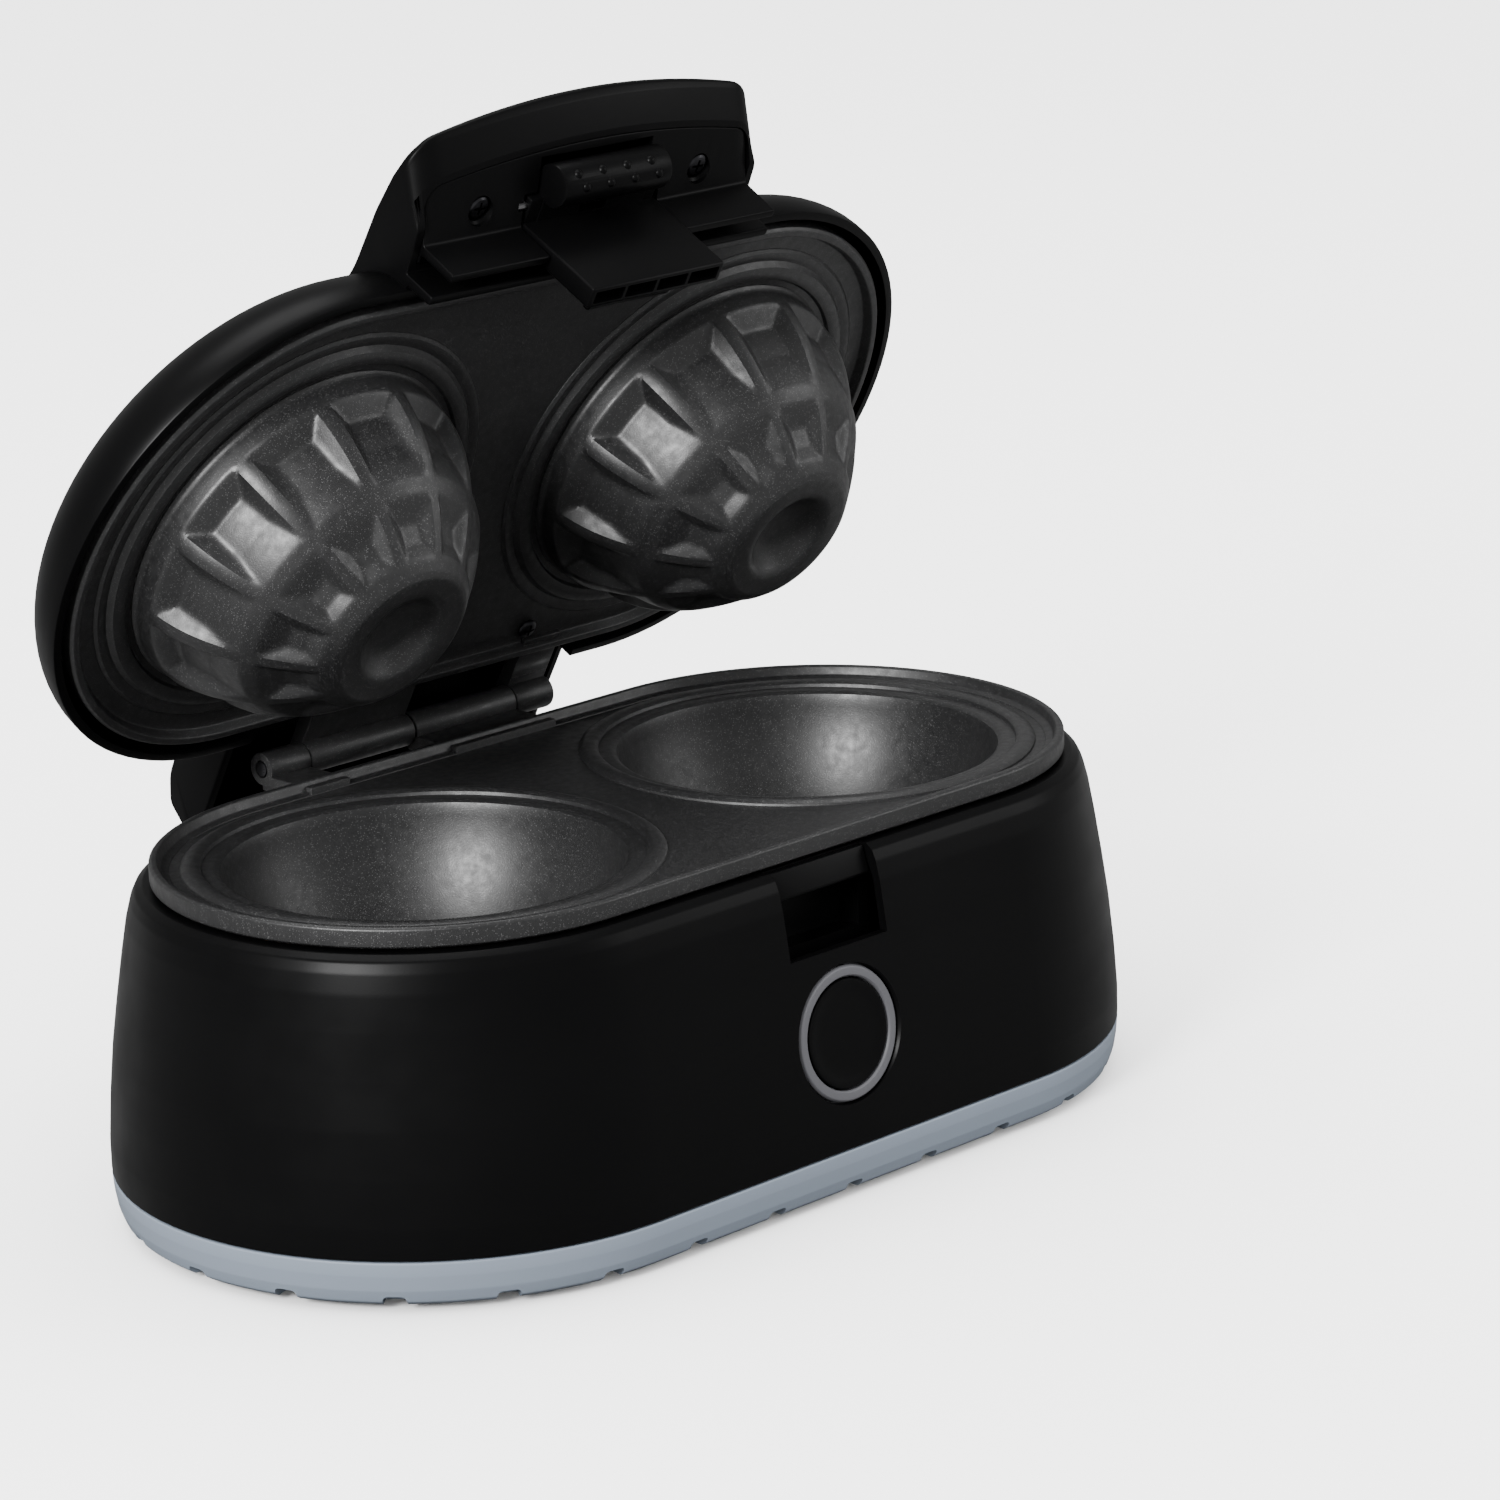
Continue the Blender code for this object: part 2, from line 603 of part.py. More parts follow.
def make_cone(side):
    """One cone: ribs and a ring between two rows of pockets, whose floors rise towards the tip."""
    rows = [  # share of the height, and how deep a pocket's floor is there
        (0.0, 0), (0.11, 0), (0.2, 4.2), (0.4, 3.2), (0.6, 0), (0.69, 0), (0.755, 3.6), (0.84, 2.8), (0.93, 0),
    ]
    columns = [(0.09, 0), (0.26, 1), (0.74, 1), (0.91, 0)]  # share of the way to the next rib
    turns = [
        (2 * math.pi * (rib + 0.5 + share) / RIB_COUNT, sunk)
        for rib in range(RIB_COUNT)
        for share, sunk in columns
    ]

    def ring(radius, z, recess=0.0):
        made = []
        for angle, sunk in turns:
            reach = radius - sunk * recess
            made.append(Vector((side * HALF_SPACING + reach * math.cos(angle), reach * math.sin(angle), z)))
        return made

    tip = PART_LINE - CONE_HEIGHT
    rings = [ring(CONE_RADIUS, PART_LINE + 4 * MM)]
    for share, recess in rows:
        depth = share * CONE_HEIGHT
        rings.append(ring(cone_radius(depth), PART_LINE - depth, recess * MM))
    rings.append(ring(TIP_RADIUS, tip + 0.6 * MM))
    rings.append(ring(TIP_RADIUS - 0.8 * MM, tip))
    rings.append(ring(11.5 * MM, tip + 0.6 * MM))
    rings.append(ring(8.0 * MM, tip + 4.5 * MM))
    bm = bmesh.new()
    skin(bm, rings)
    return triangulated(bm)


def make_upper_plate(finish, lid):
    body = [
        (64.0, 97.4), (65.6, 97.0), (66.2, 94.6), (68.0, 94.6), (68.8, 95.4), (68.8, 99.4), (68.2, 100.0),
        (63.0, 100.0),
    ]
    plate = to_object(
        to_lid(stadium_shape(metres(body))), "upper_mould_plate", finish, lid
    )
    for side in (-1, 1):
        middle = (side * HALF_SPACING, 0)
        step = [(56.4, 98.5), (56.0, 96.0), (50.0, 95.6), (49.6, 98.5)]
        join(plate, to_lid(turned(metres(step), middle, BOWL_STEPS)), f"cone_step_{side}")
        join(plate, to_lid(make_cone(side)), f"cone_{side}")
    for side in (-1, 1):
        middle = (side * HALF_SPACING, 0)
        hollow = [(41.5, 102.0), (41.0, 90.0), (38.6, 80.0), (33.0, 69.0), (24.0, 60.5), (13.0, 58.5)]
        cut(plate, to_lid(turned(metres(hollow), middle, 18)), f"cone_hollow_{side}")
    for low, high in ((-KNUCKLE_SPLIT, -GAP), (KNUCKLE_SPLIT + GAP, HINGE_HALF)):
        arm = box((low, 64 * MM, 95.8 * MM), (high, HINGE_Y, 100 * MM))
        join(plate, to_lid(arm), "upper_arm")
        knuckle = rod((low, HINGE_Y, HINGE_Z), (high, HINGE_Y, HINGE_Z), KNUCKLE_RADIUS, 20)
        join(plate, to_lid(knuckle), "upper_knuckle")
    pin_way = rod((-60 * MM, HINGE_Y, HINGE_Z), (60 * MM, HINGE_Y, HINGE_Z), PIN_BORE, 20)
    cut(plate, to_lid(pin_way), "upper_pin_cutter")
    for side in (-1, 1):
        x = side * PLATE_SCREW_X
        hole = rod((x, PLATE_SCREW_Y, 90 * MM), (x, PLATE_SCREW_Y, 104 * MM), 1.9 * MM, 12)
        cut(plate, to_lid(hole), "plate_screw_hole")


def make_lid_screws(finish, lid):
    for side, name in ((-1, "left"), (1, "right")):
        head = [(2.6, 95.6), (3.0, 96.0), (3.0, 96.7), (1.5, 96.7), (1.5, 110.0), (0.8, 111.0)]
        place = (side * PLATE_SCREW_X, PLATE_SCREW_Y)
        shape = turned(metres(head), place, 16)
        to_object(to_lid(shape), f"upper_plate_screw_{name}", finish, lid)
        head = [(2.8, 99.8), (3.2, 100.2), (3.2, 101.4), (1.5, 101.4), (1.5, 111.0), (0.8, 112.0)]
        place = (side * HANDLE_SCREW_X, HANDLE_SCREW_Y)
        shape = turned(metres(head), place, 16)
        to_object(to_lid(shape), f"handle_screw_{name}", finish, lid)


def make_upper_shield(finish, lid):
    pan = [(60.0, 112.0), (64.0, 111.0), (67.0, 104.4), (66.0, 104.2), (63.2, 110.0), (59.6, 111.0)]
    shape = stadium_shape(metres(pan), steps=12)
    shield = to_object(to_lid(shape), "upper_heat_shield", finish, lid)
    for side in (-1, 1):
        x = side * PLATE_SCREW_X
        hole = rod((x, PLATE_SCREW_Y, 100 * MM), (x, PLATE_SCREW_Y, 118 * MM), 4.5 * MM, 16)
        cut(shield, to_lid(hole), "shield_boss_hole")


def make_handle_cover(finish, lid):
    half = HANDLE_HALF - WALL - GAP
    cover = to_object(to_lid(curved_run(cover_outline, half)), "handle_cover", finish, lid)
    grip_tower = [(-103.7, 102.9), (-103.7, 109.4), (-80.6, 109.4), (-80.6, 98.4), (-87.0, 98.4)]
    join(cover, to_lid(prism(metres(grip_tower), ROLL_ROOM_HALF + 1.4 * MM)), "grip_tower")
    tongue_tower = [(-95.0, 101.0), (-95.0, 107.6), (-80.3, 107.6), (-80.3, 98.2), (-86.0, 98.2)]
    join(cover, to_lid(prism(metres(tongue_tower), POCKET_HALF + 1.6 * MM)), "tongue_tower")
    room = box((-ROLL_ROOM_HALF, -102.6 * MM, 80 * MM), (ROLL_ROOM_HALF, -75 * MM, 108.2 * MM))
    cut(cover, to_lid(room), "roll_room_cutter")
    room = box((-POCKET_HALF, -93.6 * MM, 79 * MM), (POCKET_HALF, -74 * MM, 106.2 * MM))
    cut(cover, to_lid(room), "tongue_room_cutter")
    axle = rod((-30 * MM, LATCH_Y, LATCH_Z), (30 * MM, LATCH_Y, LATCH_Z), 1.85 * MM, 12)
    cut(cover, to_lid(axle), "latch_axle_cutter")
    for side in (-1, 1):
        x = side * HANDLE_SCREW_X
        hole = rod((x, HANDLE_SCREW_Y, 90 * MM), (x, HANDLE_SCREW_Y, 108 * MM), 1.9 * MM, 10)
        cut(cover, to_lid(hole), "handle_screw_hole")
        sink = rod((x, HANDLE_SCREW_Y, 90 * MM), (x, HANDLE_SCREW_Y, 101.7 * MM), 3.6 * MM, 12)
        cut(cover, to_lid(sink), "handle_screw_sink")


# Latch: its origin is its own axle
def to_latch(bm):
    bmesh.ops.translate(bm, vec=(0, -LATCH_Y, -LATCH_Z), verts=bm.verts)
    return bm


def make_latch(finishes, lid, latch):
    tongue = box((-TONGUE_HALF, -86 * MM, TONGUE_TIP), (TONGUE_HALF, -80 * MM, 101 * MM))
    lever = to_object(to_latch(tongue), "latch_lever", finishes["shell"], latch)
    bridge = box((-18.5 * MM, -96 * MM, 97.4 * MM), (18.5 * MM, -80.6 * MM, 103.4 * MM))
    join(lever, to_latch(bridge), "lever_bridge")
    shoulders = box((-22.5 * MM, -92.8 * MM, 97.8 * MM), (22.5 * MM, -81.0 * MM, 103.0 * MM))
    join(lever, to_latch(shoulders), "lever_shoulders")
    roll = rod((-18.5 * MM, -97.2 * MM, 96.9 * MM), (18.5 * MM, -97.2 * MM, 96.9 * MM), 5.7 * MM, 20)
    join(lever, to_latch(roll), "lever_roll")
    nose = [(-80.4, 72.4), (-80.4, 79.0), (-76.0, 79.0), (-72.7, 77.6), (-72.7, 76.0)]
    join(lever, to_latch(prism(metres(nose), 14 * MM)), "lever_nose")
    for number in range(4):
        middle = (-16.5 + 11 * number) * MM
        cell = box(
            (middle - 5 * MM, -84.9 * MM, TONGUE_TIP - 2 * MM), (middle + 5 * MM, -81.3 * MM, 88 * MM)
        )
        cut(lever, to_latch(cell), f"tongue_cell_{number}")
    axle = rod((-30 * MM, LATCH_Y, LATCH_Z), (30 * MM, LATCH_Y, LATCH_Z), 1.85 * MM, 12)
    cut(lever, to_latch(axle), "lever_axle_cutter")
    spring_room = box((-4.6 * MM, -94.4 * MM, 96 * MM), (4.6 * MM, -86.4 * MM, 108 * MM))
    cut(lever, to_latch(spring_room), "spring_room_cutter")
    to_object(
        to_lid(rod((-25.2 * MM, LATCH_Y, LATCH_Z), (25.2 * MM, LATCH_Y, LATCH_Z), 1.5 * MM, 12)),
        "latch_pin", finishes["steel"], lid,
    )
    make_latch_spring(finishes["steel"], lid)


def make_latch_spring(finish, lid):
    """A torsion spring of round wire, wound about the latch's pin."""
    turns, per_turn, coil, wire = 4, 8, 2.5 * MM, 0.35 * MM
    curve = bpy.data.curves.new("latch_spring", "CURVE")
    curve.dimensions = "3D"
    curve.bevel_depth = wire
    curve.bevel_resolution = 1
    curve.use_fill_caps = True
    route = []
    for step in range(turns * per_turn + 1):
        angle = 2 * math.pi * step / per_turn
        x = (step / (turns * per_turn) - 0.5) * 6.4 * MM
        route.append(lid_point(x, LATCH_Y + coil * math.cos(angle), LATCH_Z + coil * math.sin(angle)))
    spline = curve.splines.new("POLY")
    spline.points.add(len(route) - 1)
    for point, place in zip(spline.points, route):
        point.co = (*place, 1)
    made = bpy.data.objects.new("latch_spring", curve)
    made.parent = lid
    curve.materials.append(finish)
    bpy.context.collection.objects.link(made)


def main():
    clear_scene()
    finishes = make_finishes()
    base = empty("base", (0, FRAME_Y, 0))
    lid = empty("lid", (0, HINGE_Y, HINGE_Z), -OPEN_ANGLE, base)
    latch = empty("latch", lid_point(0, LATCH_Y, LATCH_Z), 0, lid)
    button = empty("button", button_home().translation, 0, base)

    make_bottom_cover(finishes["grey"], base)
    make_feet(finishes["rubber"], base)
    make_bottom_screws(finishes["steel"], base)
    make_lower_housing(finishes["shell"], base)
    make_button(finishes, base, button)
    make_latch_keeper(finishes["shell"], base)
    make_lower_plate(finishes["mould"], base)
    make_hinge_pin(finishes["dark"], base)
    element_loop("lower_heating_element", 60.4 * MM, 84.8 * MM, finishes["element"], base)
    make_lower_shield(finishes, base)
    make_base_electrics(finishes, base)

    make_lid_shell(finishes["shell"], lid)
    make_upper_plate(finishes["mould"], lid)
    make_lid_screws(finishes["dark"], lid)
    element_loop("upper_heating_element", 50.5 * MM, 104.2 * MM, finishes["element"], lid, (HINGE_Y, HINGE_Z))
    make_upper_shield(finishes["aluminium"], lid)
    make_handle_cover(finishes["shell"], lid)
    make_latch(finishes, lid, latch)


main()
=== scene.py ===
"""Looks of the double waffle-bowl maker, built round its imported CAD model.

Shapes are written in millimetres. Base pieces are drawn about the base's own centre line, and lid pieces as
they lie when the lid is shut; ON_BASE and ON_LID then put them in the frame, in metres.
"""

import json
import math

import bmesh
import bpy
from mathutils import Matrix, Vector


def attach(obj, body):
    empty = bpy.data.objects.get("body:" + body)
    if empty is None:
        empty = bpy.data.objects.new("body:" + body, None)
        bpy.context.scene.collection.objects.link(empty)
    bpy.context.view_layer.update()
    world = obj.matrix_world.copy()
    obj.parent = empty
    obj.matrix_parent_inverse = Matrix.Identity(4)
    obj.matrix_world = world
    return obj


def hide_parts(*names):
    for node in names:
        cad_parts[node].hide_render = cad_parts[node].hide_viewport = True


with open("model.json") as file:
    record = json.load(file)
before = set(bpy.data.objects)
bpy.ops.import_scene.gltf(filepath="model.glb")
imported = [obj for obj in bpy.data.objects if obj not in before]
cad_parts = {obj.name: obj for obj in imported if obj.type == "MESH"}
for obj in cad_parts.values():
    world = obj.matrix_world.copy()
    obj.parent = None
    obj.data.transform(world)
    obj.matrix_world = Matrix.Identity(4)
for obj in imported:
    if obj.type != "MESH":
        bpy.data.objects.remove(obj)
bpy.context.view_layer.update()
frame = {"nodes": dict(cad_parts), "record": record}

MM = 0.001
HALF_SPACING = 69  # from the middle of the base to the middle of each bowl
FRAME_Y = -14.8
OPEN_ANGLE = math.radians(61)
PART_LINE = 94.3
LID_FACE = 94.9
LID_RADIUS = 73.9
LID_TOP = 120.6
DOME_FLAT = 46  # end radius of the flat on top of the lid
DOME_LOW = 98
DOME_POWER = 1.9
WALL = 2.4

CONE_HEIGHT = 44
CONE_RADIUS = 48.5
TIP_RADIUS = 19.7
RIB_COUNT = 12
RIB_HALF = 2.0
RIB_TAPER = 0.35  # share of its width that a rib loses by the tip
POCKET_WALL_SLOPE = 1.05
POCKET_ROUND = 0.25  # how far the foot of a pocket's wall is filled or cut to round it
POCKET_SOFT = 0.5
# Share of the cone's height, and how deep a pocket's floor is there
POCKET_FLOOR = (
    (0.105, 0), (0.2, 4.2), (0.4, 3.2), (0.61, 0), (0.685, 0), (0.755, 3.6), (0.84, 2.8), (0.93, 0),
)

HINGE_Y = 84
HINGE_Z = PART_LINE
KNUCKLE_RADIUS = 4.5
PIN_RADIUS = 2.0
PIN_BORE = 2.4
HINGE_HALF = 51
KNUCKLE_SPLIT = 37
KNUCKLE_GAP = 0.3

HANDLE_HALF = 59
HANDLE_SAG = 7
HANDLE_CORNER = 7.5  # radius of its front corners, seen from above
CROWN = 0.45
HOOD_HALF = 60
HANDLE_SCREW = (38, -91.6)
PLATE_SCREW = (37, 60)
PILOT_RADIUS = 1.9

LATCH_Y = -90
LATCH_Z = 100.3
TONGUE_HALF = 23
TONGUE_TIP = 69
POCKET_HALF = 23.7
ROLL_ROOM_HALF = 19.4
ROLL_Y = -97.2
ROLL_Z = 96.9
ROLL_HALF = 18.5
BUMP_REACH = 5.1  # from the roll's axis to the middle of a bump
BUMP_RADIUS = 1.35
LATCH_BORE = 1.85
LATCH_BORE_HALF = 25.25

BUTTON_Z = 43.8
BUTTON_FACE = -80.8
BUTTON_TILT = math.radians(6.6)
RING_RADIUS = 17.5
RECESS_HALF = 17.5
RECESS_BOTTOM = 66
RECESS_STEP = 80.5
GLAND_Z = 26
GLAND_HOLE = 7.4
FOOT_X = 97
FOOT_Y = 50
BOSS_REACH = 72
VENT_PITCH = 27
VENT_WIDTH = 6
VENT_HEIGHT = 4.4
VENT_RADIUS = 80

ARC_STEPS = 48  # facets on each half-round end
TURN_STEPS = 96  # facets round a bowl or the button
RIB_STEPS = 24  # facets from one rib of a cone to the next
CONE_ROWS = 96
DOME_STEPS = 24

ON_BASE = Matrix.Scale(MM, 4) @ Matrix.Translation((0, FRAME_Y, 0))
HINGE = Matrix.Translation((0, HINGE_Y, HINGE_Z))
ON_LID = ON_BASE @ HINGE @ Matrix.Rotation(-OPEN_ANGLE, 4, "X") @ HINGE.inverted()
BUTTON = Matrix.Translation((0, BUTTON_FACE, BUTTON_Z))
BUTTON = BUTTON @ Matrix.Rotation(math.radians(90) - BUTTON_TILT, 4, "X")

CAMERA_AZIMUTH = math.radians(-44.85)
CAMERA_ELEVATION = math.radians(15.81)
CAMERA_ROLL = math.radians(-1.57)
CAMERA_DISTANCE = 1.582
CAMERA_TARGET = Vector((0.130, 0.083 + FRAME_Y * MM, 0.060))
CAMERA_LENS = 131.97
SURROUND = 3.6  # strength of the white surround, and what glossy surfaces see of it
SURROUND_IN_GLOSS = 0.3
# Name, place, target, side lengths and power of each light
LIGHTS = (
    ("key", (-1.9, -0.6, 1.1), (0, 0, 0.16), (0.6, 0.6), 90),
    ("fill", (1.6, -1.3, 0.9), (0, 0, 0.1), (1.0, 1.0), 10),
    ("top", (0.1, 0.5, 1.9), (0, 0, 0.1), (1.4, 0.9), 20),
)


# Outlines
def rounded(points, steps=4):
    """A closed outline whose corners (a, b, radius) are rounded."""
    made = []
    for number, point in enumerate(points):
        here = Vector(point[:2])
        if len(point) < 3:
            made.append(here)
            continue
        before = Vector(points[number - 1][:2]) - here
        after = Vector(points[(number + 1) % len(points)][:2]) - here
        angle = before.angle(after)
        reach = min(point[2] / math.tan(angle / 2), 0.46 * before.length, 0.46 * after.length)
        start, end = here + before.normalized() * reach, here + after.normalized() * reach
        for step in range(steps + 1):
            share = step / steps
            made.append(start * (1 - share) ** 2 + here * 2 * share * (1 - share) + end * share**2)
    return made


def inset(outline, distance):
    """The outline moved inwards."""
    if not distance:
        return outline
    area = sum(a.cross(b) for a, b in zip(outline, outline[1:] + outline[:1]))
    turn = 1 if area > 0 else -1
    moved = []
    for number, here in enumerate(outline):
        along = (outline[(number + 1) % len(outline)] - outline[number - 1]).normalized()
        moved.append(here + Vector((-along.y, along.x)) * turn * distance)
    return moved


def stadium(radius, z):
    points = []
    for side in (1, -1):
        for step in range(ARC_STEPS + 1):
            angle = math.pi * (step / ARC_STEPS - 0.5)
            along = side * (HALF_SPACING + radius * math.cos(angle))
            points.append(Vector((along, side * radius * math.sin(angle), z)))
    return points


def circle(radius, z, steps, centre=(0, 0)):
    turns = (2 * math.pi * step / steps for step in range(steps))
    return [Vector((centre[0] + radius * math.cos(t), centre[1] + radius * math.sin(t), z)) for t in turns]


# Meshes
def skin(rings, closed=False, bm=None):
    """Joins rings of equal length, capped at both ends unless the profile closes on itself."""
    bm = bm or bmesh.new()
    rows = [[bm.verts.new(point) for point in ring] for ring in rings]
    pairs = list(zip(rows, rows[1:])) + ([(rows[-1], rows[0])] if closed else [])
    for low, high in pairs:
        for i in range(len(low)):
            j = (i + 1) % len(low)
            bm.faces.new((low[i], low[j], high[j], high[i]))
    if not closed:
        bm.faces.new(rows[0])
        bm.faces.new(rows[-1])
    return bm


def loft(profile, closed=False):
    return skin([stadium(radius, z) for radius, z in profile], closed)


def turned(profile, centre=(0, 0), steps=TURN_STEPS, closed=False):
    return skin([circle(radius, z, steps, centre) for radius, z in profile], closed)


def corner(x, half):
    """How much further the handle's rounded corner stands back at x, on a run that ends at half."""
    start = HANDLE_HALF - HANDLE_CORNER
    radius = half - start
    along = max(0, abs(x) - start)
    return radius - math.sqrt(max(0, radius**2 - along**2))


def run(outline, half, edge=0.8, bow=False):
    """A side outline run along X with its ends rounded over; outline(shift) may follow the handle's bow."""
    body = [-1, 1]
    if bow:
        side = [step / 12 for step in range(1, 10)]
        side += [0.8 + 0.2 * math.sin(step * math.pi / 24) for step in range(1, 13)]
        body = [-share for share in side[::-1]] + [0] + side
    ends = [(-half + edge * out, edge * small) for out, small in ((0, 1), (0.15, 0.45), (0.5, 0.12))]
    stations = ends + [(x * (half - edge), 0) for x in body] + [(-x, small) for x, small in ends[::-1]]
    sections = []
    for x, small in stations:
        shift = HANDLE_SAG * (x / HANDLE_HALF) ** 2 + corner(x, half) if bow else 0
        sections.append([Vector((x, p.x, p.y)) for p in inset(outline(shift), small)])
    return triangulated(skin(sections))


def triangulated(bm):
    """Flat faces only, because a Boolean can't cut a twisted one cleanly."""
    bmesh.ops.recalc_face_normals(bm, faces=bm.faces)
    bmesh.ops.triangulate(bm, faces=bm.faces)
    return bm


def block(low, high, edge=0.0):
    """A box; with an edge its corners and edges are rounded."""
    bm = bmesh.new()
    size = Vector(high) - Vector(low)
    middle = (Vector(high) + Vector(low)) / 2
    bmesh.ops.create_cube(bm, size=1, matrix=Matrix.Translation(middle) @ Matrix.Diagonal((*size, 1)))
    if edge:
        bmesh.ops.bevel(bm, geom=bm.edges[:], offset=edge, segments=3, affect="EDGES", profile=0.5)
    return bm


def rod(start, end, radius, steps=48):
    bm = bmesh.new()
    along = Vector(end) - Vector(start)
    turn = along.to_track_quat("Z", "Y").to_matrix().to_4x4()
    place = Matrix.Translation((Vector(start) + Vector(end)) / 2) @ turn
    bmesh.ops.create_cone(
        bm, cap_ends=True, segments=steps, radius1=radius, radius2=radius, depth=along.length, matrix=place
    )
    return bm


def moved(bm, matrix):
    bmesh.ops.transform(bm, matrix=matrix, verts=bm.verts)
    return bm


def thing(bm, name="tool"):
    bmesh.ops.recalc_face_normals(bm, faces=bm.faces)
    mesh = bpy.data.meshes.new(name)
    bm.to_mesh(mesh)
    bm.free()
    made = bpy.data.objects.new(name, mesh)
    bpy.context.scene.collection.objects.link(made)
    return made


def carve(target, tool, operation="DIFFERENCE"):
    """Cuts tool from target or joins it on, at once."""
    helper = thing(tool)
    modifier = target.modifiers.new("carve", "BOOLEAN")
    modifier.operation = operation
    modifier.solver = "EXACT"
    modifier.object = helper
    before = len(target.data.polygons)
    graph = bpy.context.evaluated_depsgraph_get()
    mesh = bpy.data.meshes.new_from_object(target.evaluated_get(graph))
    target.modifiers.clear()
    if len(mesh.polygons) < 0.5 * before:
        raise RuntimeError(f"a Boolean on {target.name} lost most of it")
    old = target.data
    target.data = mesh
    bpy.data.meshes.remove(old)
    bpy.data.objects.remove(helper, do_unlink=True)
    return target


def weld(target, tool):
    return carve(target, tool, "UNION")


def place_piece(made, matrix, body, slot, node=None, bevel=0.0, sharp=28):
    """Puts a finished shape in the frame, with its material, its body and the CAD node it stands for."""
    made.data.transform(matrix)
    made.data.materials.clear()
    made.data.materials.append(FINISHES[slot])
    made.data.shade_smooth()
    made.data.set_sharp_from_angle(angle=math.radians(sharp))
    if bevel:
        modifier = made.modifiers.new("edges", "BEVEL")
        modifier.width = bevel * MM
        modifier.segments = 2
        modifier.limit_method = "ANGLE"
        modifier.angle_limit = math.radians(32)
        modifier.harden_normals = True
        modifier.use_clamp_overlap = True
    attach(made, body)
    if node:
        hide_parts(node)
    return made


# Materials
class Nodes:
    """A material's node tree, with short calls for what every finish here needs."""

    def __init__(self, name, colour, roughness, metallic=0.0, specular=0.5):
        self.material = bpy.data.materials.new(name)
        self.material.use_nodes = True
        self.tree = self.material.node_tree
        self.shader = self.tree.nodes["Principled BSDF"]
        self.shader.inputs["Base Color"].default_value = (*colour, 1)
        self.shader.inputs["Roughness"].default_value = roughness
        self.shader.inputs["Metallic"].default_value = metallic
        self.shader.inputs["Specular IOR Level"].default_value = specular
        self.place = self.tree.nodes.new("ShaderNodeTexCoord").outputs["Object"]

    def node(self, kind, **values):
        made = self.tree.nodes.new(kind)
        for key, value in values.items():
            if hasattr(made, key):
                setattr(made, key, value)
            else:
                made.inputs[key.replace("_", " ")].default_value = value
        return made

    def link(self, source, target):
        self.tree.links.new(source, target)

    def noise(self, scale, detail=2.0, stretch=None):
        made = self.node("ShaderNodeTexNoise", Scale=scale, Detail=detail)
        place = self.place
        if stretch:
            mapping = self.node("ShaderNodeMapping")
            mapping.inputs["Scale"].default_value = stretch
            self.link(place, mapping.inputs["Vector"])
            place = mapping.outputs["Vector"]
        self.link(place, made.inputs["Vector"])
        return made.outputs["Fac"]

    def spread(self, source, low, high, start=0.3, end=0.7):
        made = self.node("ShaderNodeMapRange", clamp=True)
        for key, value in (("From Min", start), ("From Max", end), ("To Min", low), ("To Max", high)):
            made.inputs[key].default_value = value
        self.link(source, made.inputs["Value"])
        return made.outputs["Result"]

    def mix(self, share, first, second):
        made = self.node("ShaderNodeMix", data_type="RGBA")
        colours = [socket for socket in made.inputs if socket.type == "RGBA"]
        for socket, value in zip(colours, (first, second)):
            if isinstance(value, tuple):
                socket.default_value = (*value, 1)
            else:
                self.link(value, socket)
        self.link(share, made.inputs["Factor"])
        return [socket for socket in made.outputs if socket.type == "RGBA"][0]

    def bump(self, heights):
        """Adds bumps, each (height, depth in metres), one on the other."""
        normal = None
        for height, depth in heights:
            made = self.node("ShaderNodeBump", Strength=1.0, Distance=depth)
            self.link(height, made.inputs["Height"])
            if normal:
                self.link(normal, made.inputs["Normal"])
            normal = made.outputs["Normal"]
        self.link(normal, self.shader.inputs["Normal"])


def moulded(name, colour, roughness, grain=0.00001, specular=0.4, tone=0.15):
    """Moulded plastic: a fine spark-eroded grain, faint flow marks and uneven gloss."""
    made = Nodes(name, colour, roughness, specular=specular)
    cloud = made.noise(14, 3)
    light = tuple(min(1, c * (1 + tone)) for c in colour)
    dark = tuple(c * (1 - tone) for c in colour)
    made.link(made.mix(made.spread(cloud, 0, 1), dark, light), made.shader.inputs["Base Color"])
    streaks = made.noise(60, 2, (0.2, 1, 1))
    made.link(made.spread(streaks, roughness - 0.04, roughness + 0.05), made.shader.inputs["Roughness"])
    made.bump([(made.noise(2600, 2), grain), (made.noise(90, 2), grain * 2)])
    return made.material


def nonstick(name):
    """Non-stick coating: black with a fine metallic sparkle over a slightly pebbled casting."""
    made = Nodes(name, (0.008, 0.008, 0.008), 0.4, specular=0.6)
    cells = made.node("ShaderNodeTexVoronoi", Scale=3200.0)
    made.link(made.place, cells.inputs["Vector"])
    pick = made.node("ShaderNodeSeparateColor")
    made.link(cells.outputs["Color"], pick.inputs["Color"])
    chosen = made.spread(pick.outputs["Red"], 0, 1, 0.80, 0.84)
    inside = made.spread(cells.outputs["Distance"], 1, 0, 0.25, 0.45)
    both = made.node("ShaderNodeMath", operation="MULTIPLY")
    made.link(chosen, both.inputs[0])
    made.link(inside, both.inputs[1])
    cloud = made.mix(made.spread(made.noise(30, 3), 0, 1), (0.0055, 0.0055, 0.0058), (0.008, 0.008, 0.0083))
    made.link(made.mix(both.outputs["Value"], cloud, (0.05, 0.05, 0.05)), made.shader.inputs["Base Color"])
    made.link(made.spread(made.noise(420, 2), 0.38, 0.50), made.shader.inputs["Roughness"])
    made.bump([(made.noise(2400, 3), 0.00003), (made.noise(260, 2), 0.00003)])
    return made.material


